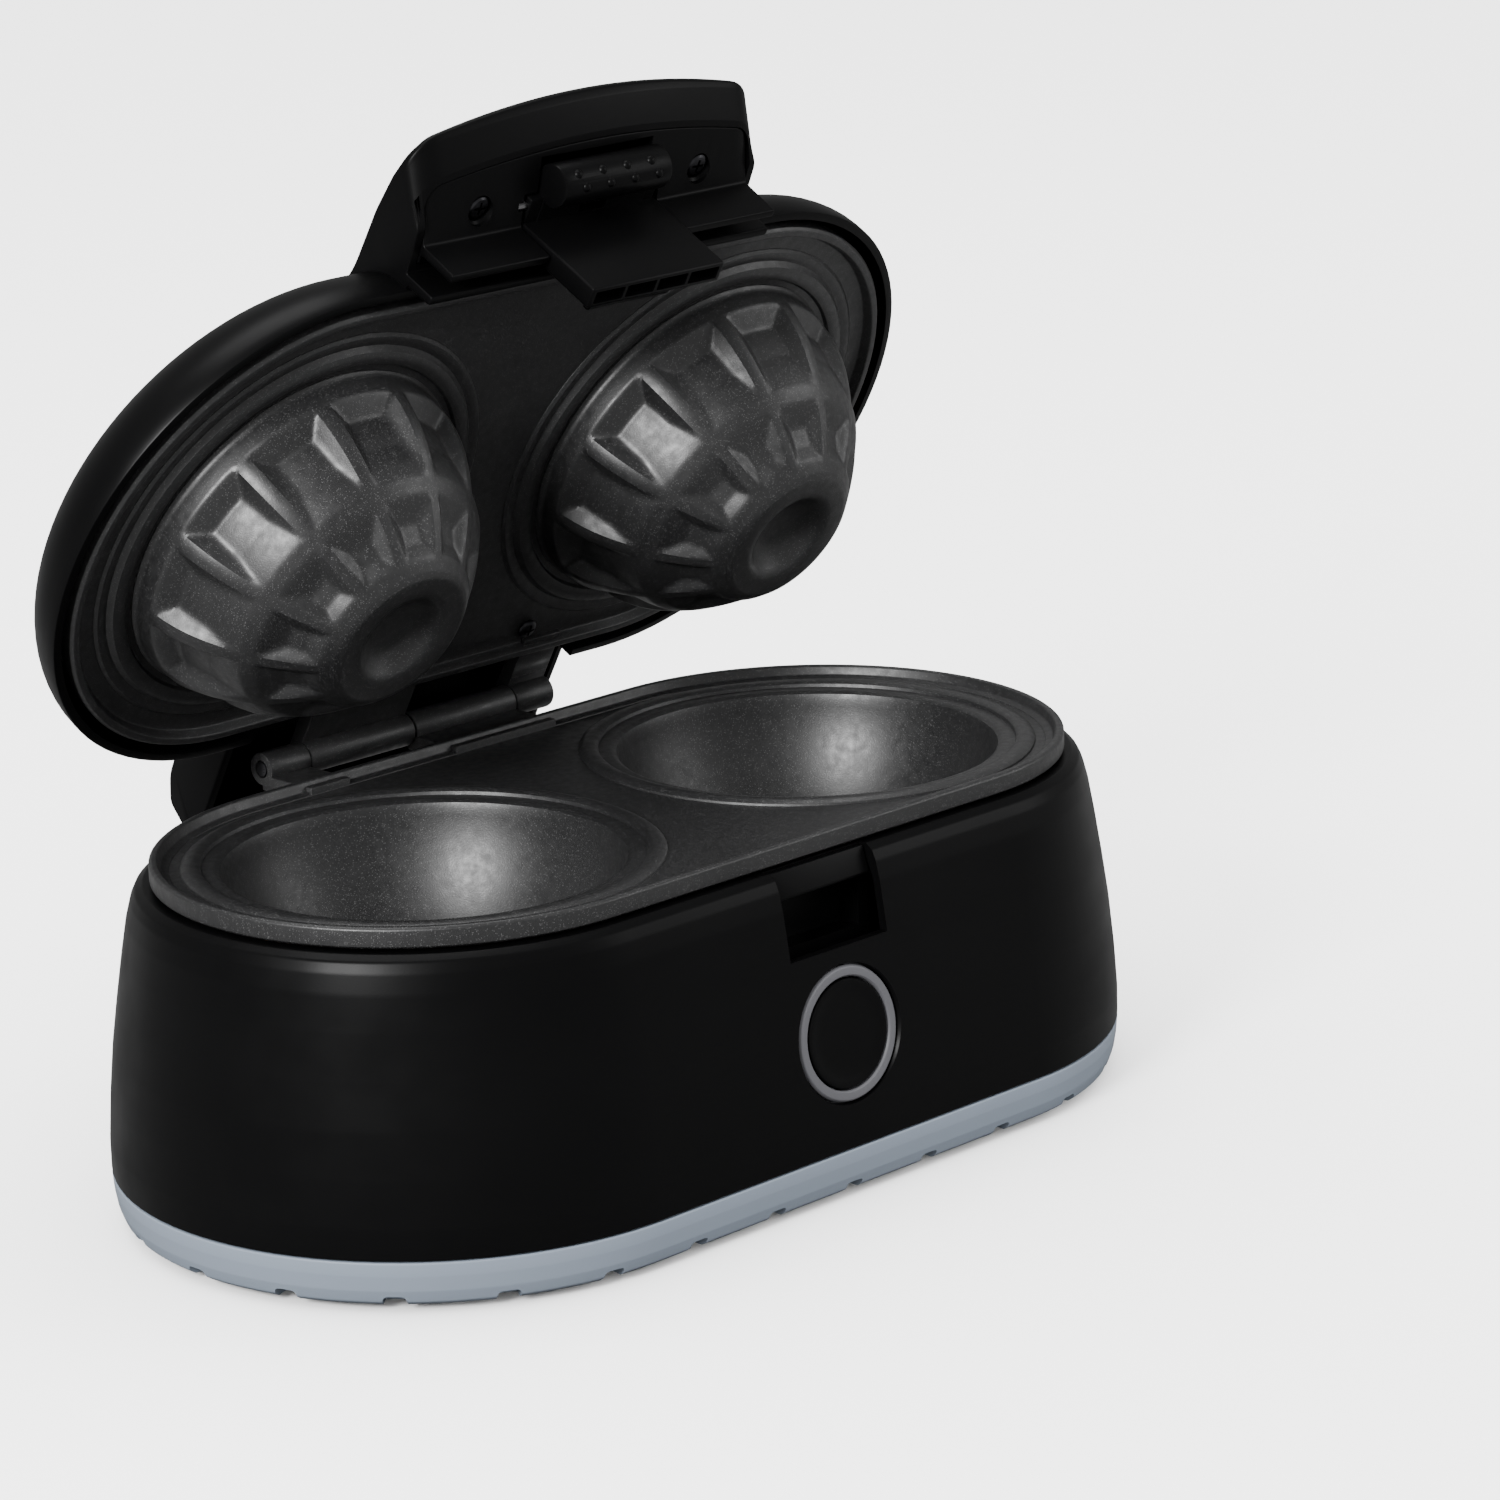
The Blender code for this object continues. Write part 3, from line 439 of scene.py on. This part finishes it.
def metal(name, colour, roughness, stretch=(1, 1, 1), tint=None):
    """Plated or rolled metal with fine drawing lines and, for a heated one, patches of tint."""
    made = Nodes(name, colour, roughness, metallic=1.0)
    if tint:
        patches = made.spread(made.noise(35, 4), 0, 1, 0.35, 0.65)
        made.link(made.mix(patches, colour, tint), made.shader.inputs["Base Color"])
    lines = made.noise(700, 2, stretch)
    made.link(made.spread(lines, roughness - 0.08, roughness + 0.1), made.shader.inputs["Roughness"])
    made.bump([(lines, 0.000008)])
    return made.material


def rubber(name):
    made = Nodes(name, (0.02, 0.02, 0.02), 0.8, specular=0.3)
    dust = made.spread(made.noise(50, 4), 0, 1, 0.5, 0.8)
    made.link(made.mix(dust, (0.016, 0.016, 0.016), (0.035, 0.034, 0.032)), made.shader.inputs["Base Color"])
    made.bump([(made.noise(1800, 2), 0.00002)])
    return made.material


def circuit_board(name):
    """Solder resist over copper, seen as slightly lighter squares and lines."""
    made = Nodes(name, (0.02, 0.16, 0.06), 0.4)
    tracks = made.node("ShaderNodeTexBrick", Scale=260.0)
    made.link(made.place, tracks.inputs["Vector"])
    colour = made.mix(tracks.outputs["Fac"], (0.012, 0.11, 0.04), (0.03, 0.2, 0.08))
    made.link(colour, made.shader.inputs["Base Color"])
    made.bump([(tracks.outputs["Fac"], 0.00003)])
    return made.material


FINISHES = {
    "shell_black": moulded("shell_black", (0.0012, 0.0012, 0.0013), 0.36, specular=0.09),
    "base_grey": moulded("base_grey", (0.125, 0.147, 0.178), 0.46, specular=0.25, tone=0.03),
    "ring_grey": moulded("ring_grey", (0.055, 0.055, 0.06), 0.42, specular=0.25, tone=0.05),
    "nonstick_black": nonstick("nonstick_black"),
    "foot_rubber": rubber("foot_rubber"),
    "gland_rubber": rubber("gland_rubber"),
    "dark_steel": metal("dark_steel", (0.06, 0.06, 0.065), 0.34, (0.15, 1, 1)),
    "steel": metal("steel", (0.5, 0.5, 0.51), 0.32, (0.15, 1, 1)),
    "element_sheath": metal("element_sheath", (0.25, 0.24, 0.23), 0.48, (1, 1, 1), (0.2, 0.13, 0.08)),
    "shield_aluminium": metal("shield_aluminium", (0.75, 0.75, 0.76), 0.38, (0.05, 1, 1)),
    "board_green": circuit_board("board_green"),
    "ceramic_white": moulded("ceramic_white", (0.72, 0.71, 0.67), 0.55, 0.00003, tone=0.04),
}


# Base
def foot_places():
    return {
        f"{fore}_{side}": (sx * FOOT_X, sy * FOOT_Y)
        for fore, sy in (("front", -1), ("back", 1))
        for side, sx in (("left", -1), ("right", 1))
    }


def boss_places():
    reach = BOSS_REACH * math.sin(math.radians(45))
    return [(sx * (HALF_SPACING + reach), sy * reach) for sy in (-1, 1) for sx in (-1, 1)]


def vent_slots():
    """Cutters for the short vents under the lower edge: rounded at the top, evenly spaced round the base."""
    straight, arc = 2 * HALF_SPACING, math.pi * VENT_RADIUS
    count = 2 * round((straight + arc) / VENT_PITCH)
    half = VENT_WIDTH / 2
    outline = rounded([(-half, -4), (half, -4), (half, VENT_HEIGHT, 1.6), (-half, VENT_HEIGHT, 1.6)])
    bm = bmesh.new()
    for number in range(count):
        along = (number + 0.5) / count * 2 * (straight + arc)
        side = 1 if along < straight + arc else -1
        along %= straight + arc
        angle = 0 if side > 0 else math.pi
        across = min(along, straight) - HALF_SPACING
        if along >= straight:
            angle += (along - straight) / VENT_RADIUS
        turn = Matrix.Translation((side * across, 0, 0)) @ Matrix.Rotation(angle, 4, "Z")
        rings = [[turn @ Vector((p.x, -VENT_RADIUS + depth, p.y)) for p in outline] for depth in (-5, 5)]
        skin(rings, bm=bm)
    return bm


def from_inmost(profile):
    """The same profile, started at its inmost point."""
    start = next(i for i, p in enumerate(profile) if p.x == min(q.x for q in profile))
    return profile[start:] + profile[:start]


def make_base_ring():
    profile = rounded([
        (74.0, 1.6, 0.3), (78.6, 1.6, 1.2), (80.4, 2.8, 1.6), (81.6, 6.0, 3), (82.3, 10.0, 3),
        (82.6, 13.6, 0.5), (80.3, 13.6, 0.3), (79.3, 7.4, 1), (76.4, 4.4, 0.3),
    ])
    ring = thing(loft(from_inmost(profile)), "base_ring")
    carve(ring, vent_slots())
    for x, y in foot_places().values():
        carve(ring, rod((x, y, 0), (x, y, 8), 3.35))
    for x, y in boss_places():
        carve(ring, turned([(3.6, -1), (3.6, 3.3), (2.0, 3.3), (2.0, 8)], (x, y), 32))
    place_piece(ring, ON_BASE, "base", "base_grey", "bottom_cover", 0.25)


def make_feet():
    profile = rounded([
        (7.0, 0, 0.2), (8.0, 0, 0.5), (8.4, 0.5, 0.3), (8.4, 1.3, 0.3), (3.0, 1.3), (3.0, 5.6, 0.4), (2.2, 6.6),
    ])
    for corner, centre in foot_places().items():
        foot = thing(turned([(6.2, 0.4)] + profile, centre, 48), f"rubber_foot_{corner}")
        place_piece(foot, ON_BASE, "base", "foot_rubber", f"foot_{corner}")


def make_housing():
    profile = rounded([
        (82.6, 14.0, 0.5), (82.6, 22.0, 20), (81.8, 34.0, 40), (80.6, 46.0, 40), (78.9, 58.0, 40),
        (77.0, 70.0, 40), (75.4, 79.0, 20), (74.1, 84.0, 6), (72.9, 86.6, 2), (70.8, 88.0, 1.0),
        (66.6, 88.0, 0.4), (66.6, 85.4), (70.6, 84.6, 1), (73.0, 79.0, 3), (76.5, 58.0), (79.3, 34.0),
        (80.1, 14.0, 0.3),
    ], 5)
    housing = thing(loft(profile, True), "housing")
    carve(housing, block((-RECESS_HALF, -95, RECESS_BOTTOM), (RECESS_HALF, -68.4, 95)))
    seat = [(0.5, -8), (0.5, -0.9), (1.2, 0.4), (4, 3)]
    carve(housing, moved(turned([(RING_RADIUS + out, up) for out, up in seat]), BUTTON))
    carve(housing, rod((0, 70, GLAND_Z), (0, 90, GLAND_Z), GLAND_HOLE))
    place_piece(housing, ON_BASE, "base", "shell_black", "lower_housing", 0.3)


def make_button():
    ring = rounded([
        (14.6, -0.9, 0.3), (15.0, -0.4, 0.3), (17.0, -0.4, 0.5), (17.5, -1.2, 0.3), (17.5, -3.9),
        (20.0, -3.9, 0.3), (20.0, -6.4, 0.3), (12.4, -6.4, 0.2), (12.4, -5.6, 0.2), (14.6, -5.6),
    ])
    made = thing(moved(turned(ring, closed=True), BUTTON), "button_ring")
    place_piece(made, ON_BASE, "base", "ring_grey", "light_ring")
    cap = [(0.4, -1.15)] + [(r, -1.15 + 0.25 * (r / 12) ** 2) for r in (3, 6, 9, 12)]
    cap += [(13.2, -0.55), (13.7, -0.6), (14.0, -0.85), (14.1, -1.3), (14.1, -3.2)]
    cap += [(3.0, -3.2), (3.0, -9.4), (0.4, -9.4)]
    made = thing(moved(turned(cap), BUTTON), "button_cap")
    place_piece(made, ON_BASE, "button", "shell_black", "power_button")


def make_keeper():
    half = RECESS_HALF - 0.5
    keeper = thing(block((-21, -68.1, 62), (21, -60, 81.2), 0.3), "keeper")
    lip = [
        (-72.2, 81.2, 0.5), (-70.2, 87.6, 0.4), (-68.8, 87.6, 0.2), (-68.8, 84.0), (-65.0, 84.0),
        (-65.0, 80.5), (-72.0, 80.5, 0.3),
    ]
    weld(keeper, run(lambda shift: rounded(lip), half, 0.4))
    carve(keeper, block((-half, -70, RECESS_BOTTOM), (half, -62, RECESS_STEP)))
    place_piece(keeper, ON_BASE, "base", "shell_black", "latch_keeper")


def knuckles(target, spans, low, high):
    """Hinge arms and barrels on one of the plates."""
    for start, end in spans:
        weld(target, block((start, 64, low), (end, HINGE_Y, high), 0.4))
        weld(target, turned_x(start, end))
    carve(target, rod((-60, HINGE_Y, HINGE_Z), (60, HINGE_Y, HINGE_Z), PIN_BORE))


def turned_x(start, end, radius=KNUCKLE_RADIUS, edge=0.5):
    """A barrel along X on the hinge axis, with rounded rims."""
    profile = [(radius - edge, start), (radius - 0.3 * edge, start + 0.15 * edge), (radius, start + edge)]
    profile += [(radius, end - edge), (radius - 0.3 * edge, end - 0.15 * edge), (radius - edge, end)]
    turn = Matrix.Translation((0, HINGE_Y, HINGE_Z)) @ Matrix.Rotation(math.radians(90), 4, "Y")
    return moved(turned(profile, steps=48), turn)


def make_lower_plate():
    profile = rounded([
        (63.0, 88.7), (68.4, 88.6, 0.5), (69.0, 89.2, 0.3), (69.0, 93.4, 0.8), (68.3, 94.0, 0.8),
        (66.8, 94.0, 0.8), (66.0, 91.4, 0.8), (64.0, 91.0, 0.5),
    ])
    plate = thing(loft(from_inmost(profile)), "lower_mould")
    outer = [
        (56.6, 90.0), (55.4, 86.0), (53.6, 80.0), (49.2, 69.0), (41.6, 57.0), (31.0, 48.0), (24.0, 44.0),
    ]
    bead = [
        (61.4, 90.6), (61.2, 91.3), (60.2, 92.0), (58.6, 92.3), (57.0, 92.1), (56.2, 91.6), (55.9, 90.6),
    ]
    inner = [(56.0, 96.0), (56.0, 91.9), (55.4, 91.2), (54.4, 90.9), (52.4, 90.7), (51.3, 90.0), (50.8, 88.6)]
    inner += [(50.6, 86.6), (49.2, 80.6), (47.4, 75.2), (45.2, 70.2), (41.8, 64.2), (37.8, 58.8), (33.0, 54.0)]
    inner += [(27.8, 50.2), (25.0, 48.4), (22.9, 47.5), (20.0, 47.3)]
    for side in (-1, 1):
        weld(plate, turned(outer, (side * HALF_SPACING, 0)))
    for side in (-1, 1):
        weld(plate, turned(bead, (side * HALF_SPACING, 0)))
        carve(plate, turned(inner, (side * HALF_SPACING, 0)))
    knuckles(plate, ((-HINGE_HALF, -KNUCKLE_SPLIT - KNUCKLE_GAP), (KNUCKLE_GAP, KNUCKLE_SPLIT)), 88.6, 92.8)
    place_piece(plate, ON_BASE, "base", "nonstick_black", "lower_mould_plate")


def make_pin():
    pin = thing(turned_x(-HINGE_HALF, HINGE_HALF, PIN_RADIUS, 0.4), "hinge_rod")
    place_piece(pin, ON_BASE, "base", "dark_steel", "hinge_pin")


def make_gland():
    profile = rounded([
        (4.2, 76.0, 0.2), (9.4, 76.0, 0.3), (9.4, 78.6, 0.3), (7.0, 78.6), (7.0, 84.6, 0.8), (5.8, 86.4, 0.8),
        (4.2, 86.4, 0.4),
    ])
    turn = Matrix.Translation((0, 0, GLAND_Z)) @ Matrix.Rotation(math.radians(-90), 4, "X")
    gland = thing(moved(turned(profile, steps=64, closed=True), turn), "gland")
    place_piece(gland, ON_BASE, "base", "gland_rubber", "cord_gland")


# Lid
def dome(radius, top):
    points = []
    for step in range(DOME_STEPS + 1):
        rise = math.sin(step / DOME_STEPS * math.pi / 2)
        reach = (1 - rise**DOME_POWER) ** (1 / DOME_POWER)
        points.append((DOME_FLAT + (radius - DOME_FLAT) * reach, DOME_LOW + (top - DOME_LOW) * rise))
    return points


def handle_outline(shift):
    drop = CROWN * min(shift, HANDLE_SAG)
    return rounded([
        (-56.0, 118.0), (-66.0, 117.7 - drop, 30), (-98.0 + shift, 117.0 - drop, 30),
        (-108.0 + shift, 115.6 - drop, 8), (-113.6 + shift, 112.8 - 0.6 * drop, 3),
        (-114.8 + shift, 110.6 - 0.4 * drop, 1.4),
        (-113.4 + shift, 108.4, 1.4), (-106.6 + shift, 103.2, 1.0), (-90.0, 98.6, 4), (-77.4, 97.4, 0.6),
        (-77.4, 87.0, 0.9), (-74.9, 87.0, 0.9), (-74.6, 95.6), (-72.5, 96.6), (-72.3, 101.0), (-69.7, 107.0),
        (-65.4, 112.0), (-58.3, 116.1),
    ])


def grip_outline(shift):
    drop = CROWN * min(shift, HANDLE_SAG)
    return rounded([
        (-105.0 + shift, 90.0), (-105.0 + shift, 104.4, 1), (-110.8 + shift, 109.0 - 0.2 * drop, 1),
        (-111.8 + shift, 110.8 - 0.6 * drop, 1), (-107.6 + shift, 113.2 - drop, 3), (-92.0, 114.4 - drop, 6),
        (-79.6, 114.8 - drop, 2), (-79.6, 90.0),
    ])


def cover_outline(shift):
    return rounded([
        (-104.7 + shift, 102.6, 0.5), (-104.7 + shift, 105.0), (-79.9, 99.7), (-79.9, 97.3, 0.4),
        (-82.6, 97.3, 0.8), (-82.6, 85.2, 0.6), (-84.8, 85.2, 0.6), (-85.2, 97.3, 1.2),
    ])


def hood_outline(_):
    return rounded([
        (72.4, 100.0), (111.0, 100.0, 0.8), (111.0, 106.0, 8), (108.4, 113.0, 5), (101.0, 116.6, 12),
        (57.0, 117.7), (58.3, 116.1), (65.4, 112.0), (69.7, 107.0),
    ])


def make_lid_shell():
    outer = [(LID_RADIUS - 0.5, LID_FACE), (LID_RADIUS - 0.15, LID_FACE + 0.15), (LID_RADIUS, LID_FACE + 0.5)]
    outer += dome(LID_RADIUS, LID_TOP)
    inner = [(LID_RADIUS - WALL, LID_FACE)] + dome(LID_RADIUS - WALL, LID_TOP - WALL)
    shell = thing(loft(outer[::-1] + inner), "lid_housing")
    weld(shell, run(handle_outline, HANDLE_HALF, 0.5, bow=True))
    weld(shell, run(hood_outline, HOOD_HALF, 0.8))
    hollow = rounded([
        (50.0, 90.0), (108.6, 90.0), (108.6, 105.4, 6), (106.4, 111.0, 4), (100.0, 114.2, 6), (50.0, 115.4),
    ])
    carve(shell, run(lambda shift: hollow, HOOD_HALF - WALL, 0.4))
    carve(shell, run(grip_outline, HANDLE_HALF - WALL, 0.4, bow=True))
    place_piece(shell, ON_LID, "lid", "shell_black", "lid_shell", 0.25)


def cross_recess(x, y, z, long=1.9, narrow=0.35):
    """Two cutters for a cross-head slot that opens downwards."""
    sizes = ((long, narrow), (narrow, long))
    return [block((x - across, y - along, z - 2), (x + across, y + along, z + 0.9)) for across, along in sizes]


def make_lid_screws():
    plate_head = [
        (0.4, 95.35), (1.4, 95.42), (2.3, 95.7), (2.8, 96.1), (3.0, 96.5), (3.0, 96.7), (1.5, 96.7),
        (1.5, 110), (0.8, 111),
    ]
    grip_head = [
        (0.4, 99.8), (1.6, 99.85), (2.6, 100.0), (3.1, 100.4), (3.2, 100.8), (3.2, 101.4), (1.5, 101.4),
        (1.5, 111), (0.8, 112),
    ]
    kinds = (
        ("plate_screw", PLATE_SCREW, plate_head, 95.5, "upper_plate_screw"),
        ("grip_screw", HANDLE_SCREW, grip_head, 100, "handle_screw"),
    )
    for side, end in ((-1, "left"), (1, "right")):
        for name, (x, y), head, slot_z, node in kinds:
            screw = thing(turned(head, (side * x, y), 48), f"{name}_{end}")
            for cutter in cross_recess(side * x, y, slot_z):
                carve(screw, cutter)
            place_piece(screw, ON_LID, "lid", "dark_steel", f"{node}_{end}")


def cone_radius(depth):
    return TIP_RADIUS + (CONE_RADIUS - TIP_RADIUS) * (1 - min(depth / CONE_HEIGHT, 1) ** 2)


def floor_depth(share):
    """How deep a pocket's floor lies at a share of the cone's height."""
    for (low, before), (high, after) in zip(POCKET_FLOOR, POCKET_FLOOR[1:]):
        if low <= share <= high:
            return before + (after - before) * (share - low) / (high - low)
    return 0


def softened(share, reach=0.012):
    """The floor's depth with its creases rounded over."""
    return sum(floor_depth(share + offset * reach) for offset in (-1, -0.5, 0, 0.5, 1)) / 5


def sunk(part, share):
    """How far the cone's surface lies inside its ribs, at a part of the way from one rib to the next."""
    from_middle = min(part, 1 - part) * 2 * math.pi / RIB_COUNT * cone_radius(share * CONE_HEIGHT)
    wall = POCKET_WALL_SLOPE * max(0, from_middle - RIB_HALF * (1 - RIB_TAPER * share))
    deep = softened(share)
    level = min(wall, deep)
    foot = POCKET_ROUND * math.exp(-abs(wall - deep) / POCKET_SOFT) if level > 0.3 else 0
    return max(0, level - foot)


def make_cone(side):
    """One cone: two rows of sunk pockets between its ribs and a ring, ending in a dished tip."""
    count = RIB_STEPS * RIB_COUNT
    last_share = 0.985

    def ring(z, reach):
        made = []
        for number in range(count):
            angle = 2 * math.pi * (number / RIB_STEPS + 0.5) / RIB_COUNT
            radius = reach(number / RIB_STEPS % 1)
            made.append(Vector((
                side * HALF_SPACING + radius * math.cos(angle), radius * math.sin(angle), z,
            )))
        return made

    widest = cone_radius(0)
    base = [(0.9, 4.0), (0.9, 1.9), (0.5, 1.5), (0.1, 0.9)]
    rings = [ring(PART_LINE + up, lambda part: widest + out) for out, up in base]
    for row in range(CONE_ROWS + 1):
        share = last_share * row / CONE_ROWS
        depth = share * CONE_HEIGHT
        rings.append(ring(PART_LINE - depth, lambda part: cone_radius(depth) - sunk(part, share)))
    tip = PART_LINE - CONE_HEIGHT
    ends = [
        (TIP_RADIUS + 0.2, 0.45), (TIP_RADIUS - 0.3, 0.12), (TIP_RADIUS - 1.2, 0), (14.6, 0), (13.2, 0.2),
        (12.2, 0.7), (11.5, 1.4), (10.6, 2.2), (9.4, 3.2), (8.0, 4.1), (6.0, 4.6), (3.0, 4.8),
    ]
    rings += [ring(tip + up, lambda part: radius) for radius, up in ends]
    return triangulated(skin(rings))


def make_upper_plate():
    profile = rounded([
        (63.4, 97.4), (65.2, 97.2, 0.6), (66.2, 94.6, 0.6), (68.0, 94.6, 0.6), (68.8, 95.4, 0.5),
        (68.8, 99.4, 0.4), (68.2, 100.0), (63.0, 100.0),
    ])
    plate = thing(loft(profile), "upper_mould")
    step = [
        (60.6, 98.5), (60.4, 97.2), (59.6, 96.6), (58.4, 96.5), (57.4, 96.9), (56.8, 97.0), (56.2, 96.4),
        (55.6, 95.6), (54.4, 95.2), (52.8, 95.2), (51.8, 95.6), (51.2, 96.5), (50.0, 96.7), (48.0, 96.7),
        (47.6, 98.5),
    ]
    for side in (-1, 1):
        middle = (side * HALF_SPACING, 0)
        weld(plate, turned(step, middle))
        weld(plate, make_cone(side))
    hollow = [(41.5, 102.0), (41.0, 90.0), (38.6, 80.0), (33.0, 69.0), (24.0, 60.5), (13.0, 58.5)]
    for side in (-1, 1):
        carve(plate, turned(hollow, (side * HALF_SPACING, 0), 48))
        x, y = side * PLATE_SCREW[0], PLATE_SCREW[1]
        carve(plate, rod((x, y, 90), (x, y, 104), PILOT_RADIUS))
    knuckles(plate, ((-KNUCKLE_SPLIT, -KNUCKLE_GAP), (KNUCKLE_SPLIT + KNUCKLE_GAP, HINGE_HALF)), 95.8, 100)
    place_piece(plate, ON_LID, "lid", "nonstick_black", "upper_mould_plate")


def make_cover():
    cover = thing(run(cover_outline, HANDLE_HALF - WALL - 0.3, 0.4, bow=True), "grip_cover")
    tower = [(-103.7, 102.9), (-103.7, 109.4), (-80.6, 109.4), (-80.6, 98.4), (-87.0, 98.4)]
    weld(cover, run(lambda shift: rounded(tower), ROLL_ROOM_HALF + 1.4, 0.3))
    tower = [(-95.0, 101.0), (-95.0, 107.6), (-80.3, 107.6), (-80.3, 98.2), (-86.0, 98.2)]
    weld(cover, run(lambda shift: rounded(tower), POCKET_HALF + 1.6, 0.3))
    carve(cover, block((-ROLL_ROOM_HALF, -102.6, 80), (ROLL_ROOM_HALF, -75, 108.2)))
    carve(cover, block((-POCKET_HALF, -93.6, 79), (POCKET_HALF, -74, 106.2)))
    carve(cover, rod((-LATCH_BORE_HALF, LATCH_Y, LATCH_Z), (LATCH_BORE_HALF, LATCH_Y, LATCH_Z), LATCH_BORE))
    sink = [(4.2, 90), (4.2, 99.2), (3.6, 99.9), (3.6, 101.7), (PILOT_RADIUS, 101.7), (PILOT_RADIUS, 108)]
    for side in (-1, 1):
        carve(cover, turned(sink, (side * HANDLE_SCREW[0], HANDLE_SCREW[1]), 48))
    place_piece(cover, ON_LID, "lid", "shell_black", "handle_cover", 0.2)


# Latch
def make_latch():
    lever = thing(block((-TONGUE_HALF, -86, TONGUE_TIP), (TONGUE_HALF, -80, 101), 0.7), "latch")
    weld(lever, block((-ROLL_HALF, -96, 97.4), (ROLL_HALF, -80.6, 103.4), 0.3))
    weld(lever, block((-22.5, -92.8, 97.8), (22.5, -81.0, 103.0), 0.5))
    turn = Matrix.Translation((0, ROLL_Y, ROLL_Z)) @ Matrix.Rotation(math.radians(90), 4, "Y")
    roll = [(4.9, -ROLL_HALF), (5.5, -18.35), (5.7, -17.8), (5.7, 17.8), (5.5, 18.35), (4.9, ROLL_HALF)]
    weld(lever, moved(turned(roll, steps=64), turn))
    nose = [(-80.4, 72.4), (-80.4, 79.0), (-76.0, 79.0, 0.6), (-72.7, 77.6, 0.5), (-72.7, 76.0, 0.8)]
    weld(lever, run(lambda shift: rounded(nose), 14, 0.4))
    for number in range(4):
        middle = -16.5 + 11 * number
        carve(lever, block((middle - 5, -84.9, TONGUE_TIP - 2), (middle + 5, -81.3, 88), 0.3))
    for row, degrees in enumerate((-150, -112)):
        angle = math.radians(degrees)
        y, z = ROLL_Y + BUMP_REACH * math.cos(angle), ROLL_Z + BUMP_REACH * math.sin(angle)
        for number in range(4):
            bump = bmesh.new()
            place = Matrix.Translation((-13.6 + 8.4 * number + 2.1 * row, y, z))
            bmesh.ops.create_uvsphere(bump, u_segments=20, v_segments=12, radius=BUMP_RADIUS, matrix=place)
            weld(lever, bump)
    carve(lever, rod((-30, LATCH_Y, LATCH_Z), (30, LATCH_Y, LATCH_Z), LATCH_BORE))
    carve(lever, block((-4.6, -94.4, 96), (4.6, -86.4, 108)))
    place_piece(lever, ON_LID, "latch", "shell_black", "latch_lever")


def finish_cad_nodes():
    """The pieces that are right as they come from CAD get their finish here."""
    slots = {part["node"]: part["material_slot"] for part in frame["record"]["subparts"]}
    for name, node in frame["nodes"].items():
        if not node.hide_render:
            node.data.materials.clear()
            node.data.materials.append(FINISHES[slots[name]])


# Studio
def make_floor():
    bm = bmesh.new()
    bmesh.ops.create_circle(bm, cap_ends=True, segments=96, radius=6)
    bmesh.ops.translate(bm, vec=(0, 0, -0.0003), verts=bm.verts)
    floor = thing(bm, "floor")
    paper = Nodes("floor_paper", (0.9, 0.9, 0.9), 0.9, specular=0.0)
    path = paper.node("ShaderNodeLightPath")
    seen = paper.mix(path.outputs["Is Camera Ray"], (0.1, 0.1, 0.1), (0.92, 0.92, 0.92))
    paper.link(seen, paper.shader.inputs["Base Color"])
    floor.data.materials.append(paper.material)


def make_light(name, place, target, size, power):
    data = bpy.data.lights.new(name, "AREA")
    data.shape = "RECTANGLE"
    data.size, data.size_y = size
    data.energy = power
    light = bpy.data.objects.new(name, data)
    light.location = place
    light.rotation_euler = (Vector(target) - Vector(place)).to_track_quat("-Z", "Y").to_euler()
    bpy.context.scene.collection.objects.link(light)


def make_studio():
    world = bpy.data.worlds.new("studio")
    bpy.context.scene.world = world
    world.use_nodes = True
    tree = world.node_tree
    plain, dim = tree.nodes["Background"], tree.nodes.new("ShaderNodeBackground")
    plain.inputs["Color"].default_value = (1, 1, 1, 1)
    plain.inputs["Strength"].default_value = SURROUND
    dim.inputs["Color"].default_value = (1, 1, 1, 1)
    dim.inputs["Strength"].default_value = SURROUND_IN_GLOSS
    path, share = tree.nodes.new("ShaderNodeLightPath"), tree.nodes.new("ShaderNodeMixShader")
    tree.links.new(path.outputs["Is Glossy Ray"], share.inputs["Fac"])
    tree.links.new(plain.outputs["Background"], share.inputs[1])
    tree.links.new(dim.outputs["Background"], share.inputs[2])
    tree.links.new(share.outputs["Shader"], tree.nodes["World Output"].inputs["Surface"])
    for light in LIGHTS:
        make_light(*light)


def make_camera():
    """From the front left, a little above, with a slight roll."""
    flat = math.cos(CAMERA_ELEVATION)
    back = Vector((
        math.sin(CAMERA_AZIMUTH) * flat, -math.cos(CAMERA_AZIMUTH) * flat, math.sin(CAMERA_ELEVATION),
    ))
    right = (-back).cross(Vector((0, 0, 1))).normalized()
    up = right.cross(-back)
    cos, sin = math.cos(CAMERA_ROLL), math.sin(CAMERA_ROLL)
    right, up = right * cos + up * sin, up * cos - right * sin
    data = bpy.data.cameras.new("camera")
    data.lens = CAMERA_LENS
    data.sensor_width = 36
    data.clip_end = 50
    camera = bpy.data.objects.new("camera", data)
    turn = Matrix((right, up, back)).transposed().to_4x4()
    camera.matrix_world = Matrix.Translation(CAMERA_TARGET + back * CAMERA_DISTANCE) @ turn
    bpy.context.scene.collection.objects.link(camera)
    bpy.context.scene.camera = camera


make_base_ring()
make_feet()
make_housing()
make_button()
make_keeper()
make_lower_plate()
make_pin()
make_gland()
make_lid_shell()
make_lid_screws()
make_upper_plate()
make_cover()
make_latch()
finish_cad_nodes()
make_floor()
make_studio()
make_camera()
